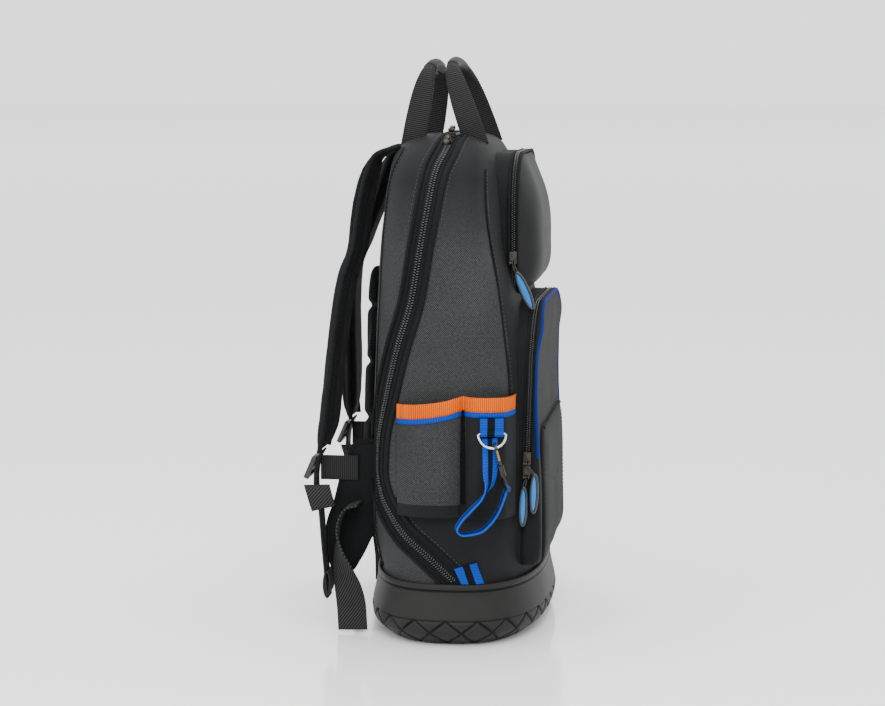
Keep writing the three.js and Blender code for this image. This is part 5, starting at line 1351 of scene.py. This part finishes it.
def makeHandle(name, node, footY, topY, rise):
    rows = handles["rows"] + [(-s, r, roll) for s, r, roll in handles["rows"][:-1][::-1]]
    stations = []
    for span, high, roll in rows:
        wide = handles["web"] + (handles["grip"] - handles["web"]) * roll
        thick = handles["webThick"] + (handles["grip"] - handles["webThick"]) * roll
        stations.append((span * handles["half"], footY + (topY - footY) * high,
                         body["top"] + 0.35 + high * (rise - handles["grip"] / 2), 0, 1, 0, wide, thick,
                         1.2 + (thick / 2 - 1.2) * roll))
    settle(band(name, stations, 130, flats=6), nylonWebbing, [node])
    line = smoothPath(stations, 130)
    sleeve = [s for s in line if s[2] > body["top"] + rise * 0.86]
    grip = [tuple(s[:6]) + (s[6] + 1.0, s[7] + 1.0, s[8] + 0.5) for s in sleeve]
    settle(band(f"{name}Grip", grip, 50), mouldedFoam)


makeHandle("handleBack", "handle_back", 45, 32, handles["rise"] - 1)
makeHandle("handleFront", "handle_front", -15, 11, handles["rise"] + 1)
print("webbing, wings and handles made")


# Zipper pulls
for name in ("upper_pocket_slider", "lower_pocket_slider_a", "lower_pocket_slider_b", "main_zip_slider_a",
             "main_zip_slider_b"):
    softened(name, name.replace("_", "-") + "-cast", darkZinc, 0.45)
for name in ("main_zip_pull_a", "main_zip_pull_b"):
    softened(name, name.replace("_", "-") + "-tab", darkZinc, 0.5, body=name)

# Each tag hangs on a pocket: level, lean, length, width and shift to the side
pulls = dict(neck=0.18, out=8.25, tags=dict(
    upper_pocket_pull=(upper, 375.88, 0.42, 51, 11, 0),
    lower_pocket_pull_a=(lower, 179.90225, 0, 50, 9.5, -8.5),
    lower_pocket_pull_b=(lower, 166.40225, 0, 50, 9.5, 1.8)))


def makePull(node, pocket, level, lean, length, width, shift):
    at = Vector((-pocket["half"] - pulls["out"], -zipPlane(pocket, level), level))
    tip = atan2(pocket["lean"], 1)
    turn = Matrix([(0, 0, -1), (cos(tip), sin(tip), 0), (sin(tip), -cos(tip), 0)])
    tilt = Matrix.Rotation(lean, 3, "Z")

    def place(points, tilt=tilt):
        return [tuple(at + turn @ (tilt @ Vector(p))) for p in points]
    neck = max(5, length * pulls["neck"])
    half = (length - neck) / 2
    centre = neck + half
    ring = [(shift + (width / 2 - 1.5) * cos(a), centre + (half - 1.5) * sin(a), 0) for a in around(48)]
    settle(pipeAlong(f"{node}-rim", [place(ring)], 1.55, darkVinyl, closed=True, sides=10), darkVinyl,
           [node], node)
    rows = []
    for share, lift in ((0.02, 1.35), (0.45, 1.25), (0.75, 1.1), (0.92, 0.95), (1.0, 0.6),
                        (1.0, -0.6), (0.92, -0.95), (0.75, -1.1), (0.02, -1.35)):
        reach, rise = (width / 2 - 2.0) * share, (half - 2.4) * share
        rows.append(place([(shift + reach * cos(a), centre + rise * sin(a), lift) for a in around(40)]))
    settle(gridSkin(f"{node}-face", rows, roundRows=True, closeEnds=True), blueVinyl, (), node)
    cords = []
    for hand in (-1, 1):
        cords.append(place([(hand * 0.7, 2.0, 0), (hand + shift * 0.3, neck * 0.5, 0.2 * hand),
                            (shift + hand * 1.2, neck + 2.2, 0)]))
    settle(pipeAlong(f"{node}-cord", cords, 0.75, darkThread), darkThread, (), node)
    eye = place([(0, 1.95 * cos(a), 1.95 * sin(a)) for a in around(24)], Matrix.Identity(3))
    settle(pipeAlong(f"{node}-eye", [eye], 0.7, darkZinc, closed=True), darkZinc, (), node)


for node, tag in pulls["tags"].items():
    makePull(node, *tag)
print("pulls made")


# Tether. Rows of its strap are run and height from the hook's eye, and a share of a quarter turn
tether = dict(run=46.0, tab=23.0, heights=(230.4, 215.4, 170.4), width=15.0, cloth=2.0, rows=[
    (15.5, 48, 0), (15, 34, 0), (15, 20, 0.05), (16.5, 6, 0.45), (23, -8, 0.9), (35, -21, 1), (45, -32, 1),
    (49, -40, 1), (43, -45, 1), (28, -43, 1), (15, -33, 1), (6, -18, 1), (0.8, -2.4, 1)])
softened("snap_hook", "snapHookCast", darkZinc, 0.5)
softened("hook_gate", "hookGateBar", wornZinc, 0.35, body="hook_gate")
softened("d_ring", "tetherRing", platedSteel, 0.3)
tetherTab = softened("tether_tab", "tetherTabFold", stripedTape, 0.3)
storeStripe(tetherTab, lambda x, y, z: y + tether["run"])
rim = dict(run=26.0, foot=62.3, lean=7 / 22, out=1.5)  # its stripe leans back 7 mm over the 22 mm seen
rimTab = softened("base_tab", "rimTabTape", stripedTape, 0.3)
rimTab.data.transform(Matrix.Translation((-rim["out"] * 0.001, 0, 0)))
storeStripe(rimTab, lambda x, y, z: y + rim["run"] - rim["lean"] * (z - rim["foot"]))


# The tether strap hangs flat at its top, turns edge-on, and loops back to the hook's eye
def makeTetherStrap():
    def edge(y):
        row = pouchRow((pouch["back"] - y) / pouch["length"])
        return max(sideOf(y, z, stand(row, z) + pouch["wall"]) for z in tether["heights"])
    half = tether["tab"] / 2
    slant = atan2(edge(half - tether["run"]) - edge(-half - tether["run"]), tether["tab"])
    reach = max(edge(u - tether["run"]) - u * np.tan(slant) for u in (-half, 0, half))
    place = Matrix.Translation((-reach, -tether["run"], 0)) @ Matrix.Rotation(pi + slant, 4, "Z")
    solid = np.array([v.co[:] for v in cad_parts["tether_strap"].data.vertices]) * 1000
    local = np.array([(place.inverted() @ Vector(p))[:] for p in solid])
    eye = np.array([local[:, 0].max() - tether["width"] / 2, local[:, 1].max() - 3.2,
                    local[:, 2].max() - tether["rows"][0][1]])
    flat = 0.35 + tether["cloth"] / 2
    stations = []
    for run, high, turn in tether["rows"]:
        angle = turn * pi / 2
        at = place @ Vector((flat + sin(angle) * (eye[0] - flat), eye[1] - run, eye[2] + high))
        across = place.to_3x3() @ Vector((sin(angle), -cos(angle), 0))
        stations.append((*at, *across, tether["width"], tether["cloth"] - 0.2, 0.7))
    for angle in (-110, -50, 10, 70, 130):  # round the eye's bar
        at = place @ Vector((eye[0], eye[1] + 2.5 * cos(radians(angle)),
                             eye[2] + 2.5 * sin(radians(angle))))
        stations.append((*at, *(place.to_3x3() @ Vector((1, 0, 0))), tether["width"] - 1,
                         tether["cloth"] - 0.4, 0.7))
    settle(band("tetherStrapTape", stations, 150), narrowTape, ["tether_strap"])
    tack = place @ Vector((eye[0], eye[1] - 8, eye[2] - 17.5))
    out = place.to_3x3() @ Vector((0, 0.75, -0.6))
    across = place.to_3x3() @ Vector((1, 0, 0))
    spots = [(tuple(tack + across * k * 1.3 + out * 1.4), tuple(across.cross(out)), tuple(out))
             for k in range(-5, 6)]
    settle(beadRow("tetherStrapTack", spots, 5.0, 1.3, 1.0, darkThread), darkThread)


makeTetherStrap()
print("tether made")

# Light and floor
studio = dict(world=1.85, floor=40.0)
world = bpy.data.worlds.new("studio")
world.use_nodes = True
world.node_tree.nodes["Background"].inputs["Color"].default_value = (1, 1, 1, 1)
world.node_tree.nodes["Background"].inputs["Strength"].default_value = studio["world"]
bpy.context.scene.world = world

floorMesh = bpy.data.meshes.new("floor")
far = studio["floor"]
corners = [(x * far, y * far, -0.0004) for x, y in ((-1, -1), (1, -1), (1, 1), (-1, 1))]
floorMesh.from_pydata(corners, [], [(0, 1, 2, 3)])
floor = newObject("floor", floorMesh)
floorFinish, _, floorShader = newFinish("paleStudioFloor")
floorShader.inputs["Base Color"].default_value = (0.9, 0.9, 0.9, 1)
floorShader.inputs["Roughness"].default_value = 0.12
floorMesh.materials.append(floorFinish)


def addLight(name, place, target, size, power):
    data = bpy.data.lights.new(name, "AREA")
    data.size = size
    data.energy = power
    lamp = bpy.data.objects.new(name, data)
    lamp.location = place
    lamp.rotation_euler = (Vector(target) - Vector(place)).to_track_quat("-Z", "Y").to_euler()
    bpy.context.scene.collection.objects.link(lamp)


addLight("keyLight", (-2.7, -0.5, 2.5), (0, 0, 0.3), 1.8, 85)
addLight("fillLight", (-2.0, 2.2, 1.6), (0, 0, 0.3), 1.6, 22)
addLight("topLight", (0.2, 0, 3.0), (0, 0, 0.3), 2.0, 45)
print("light and floor made")
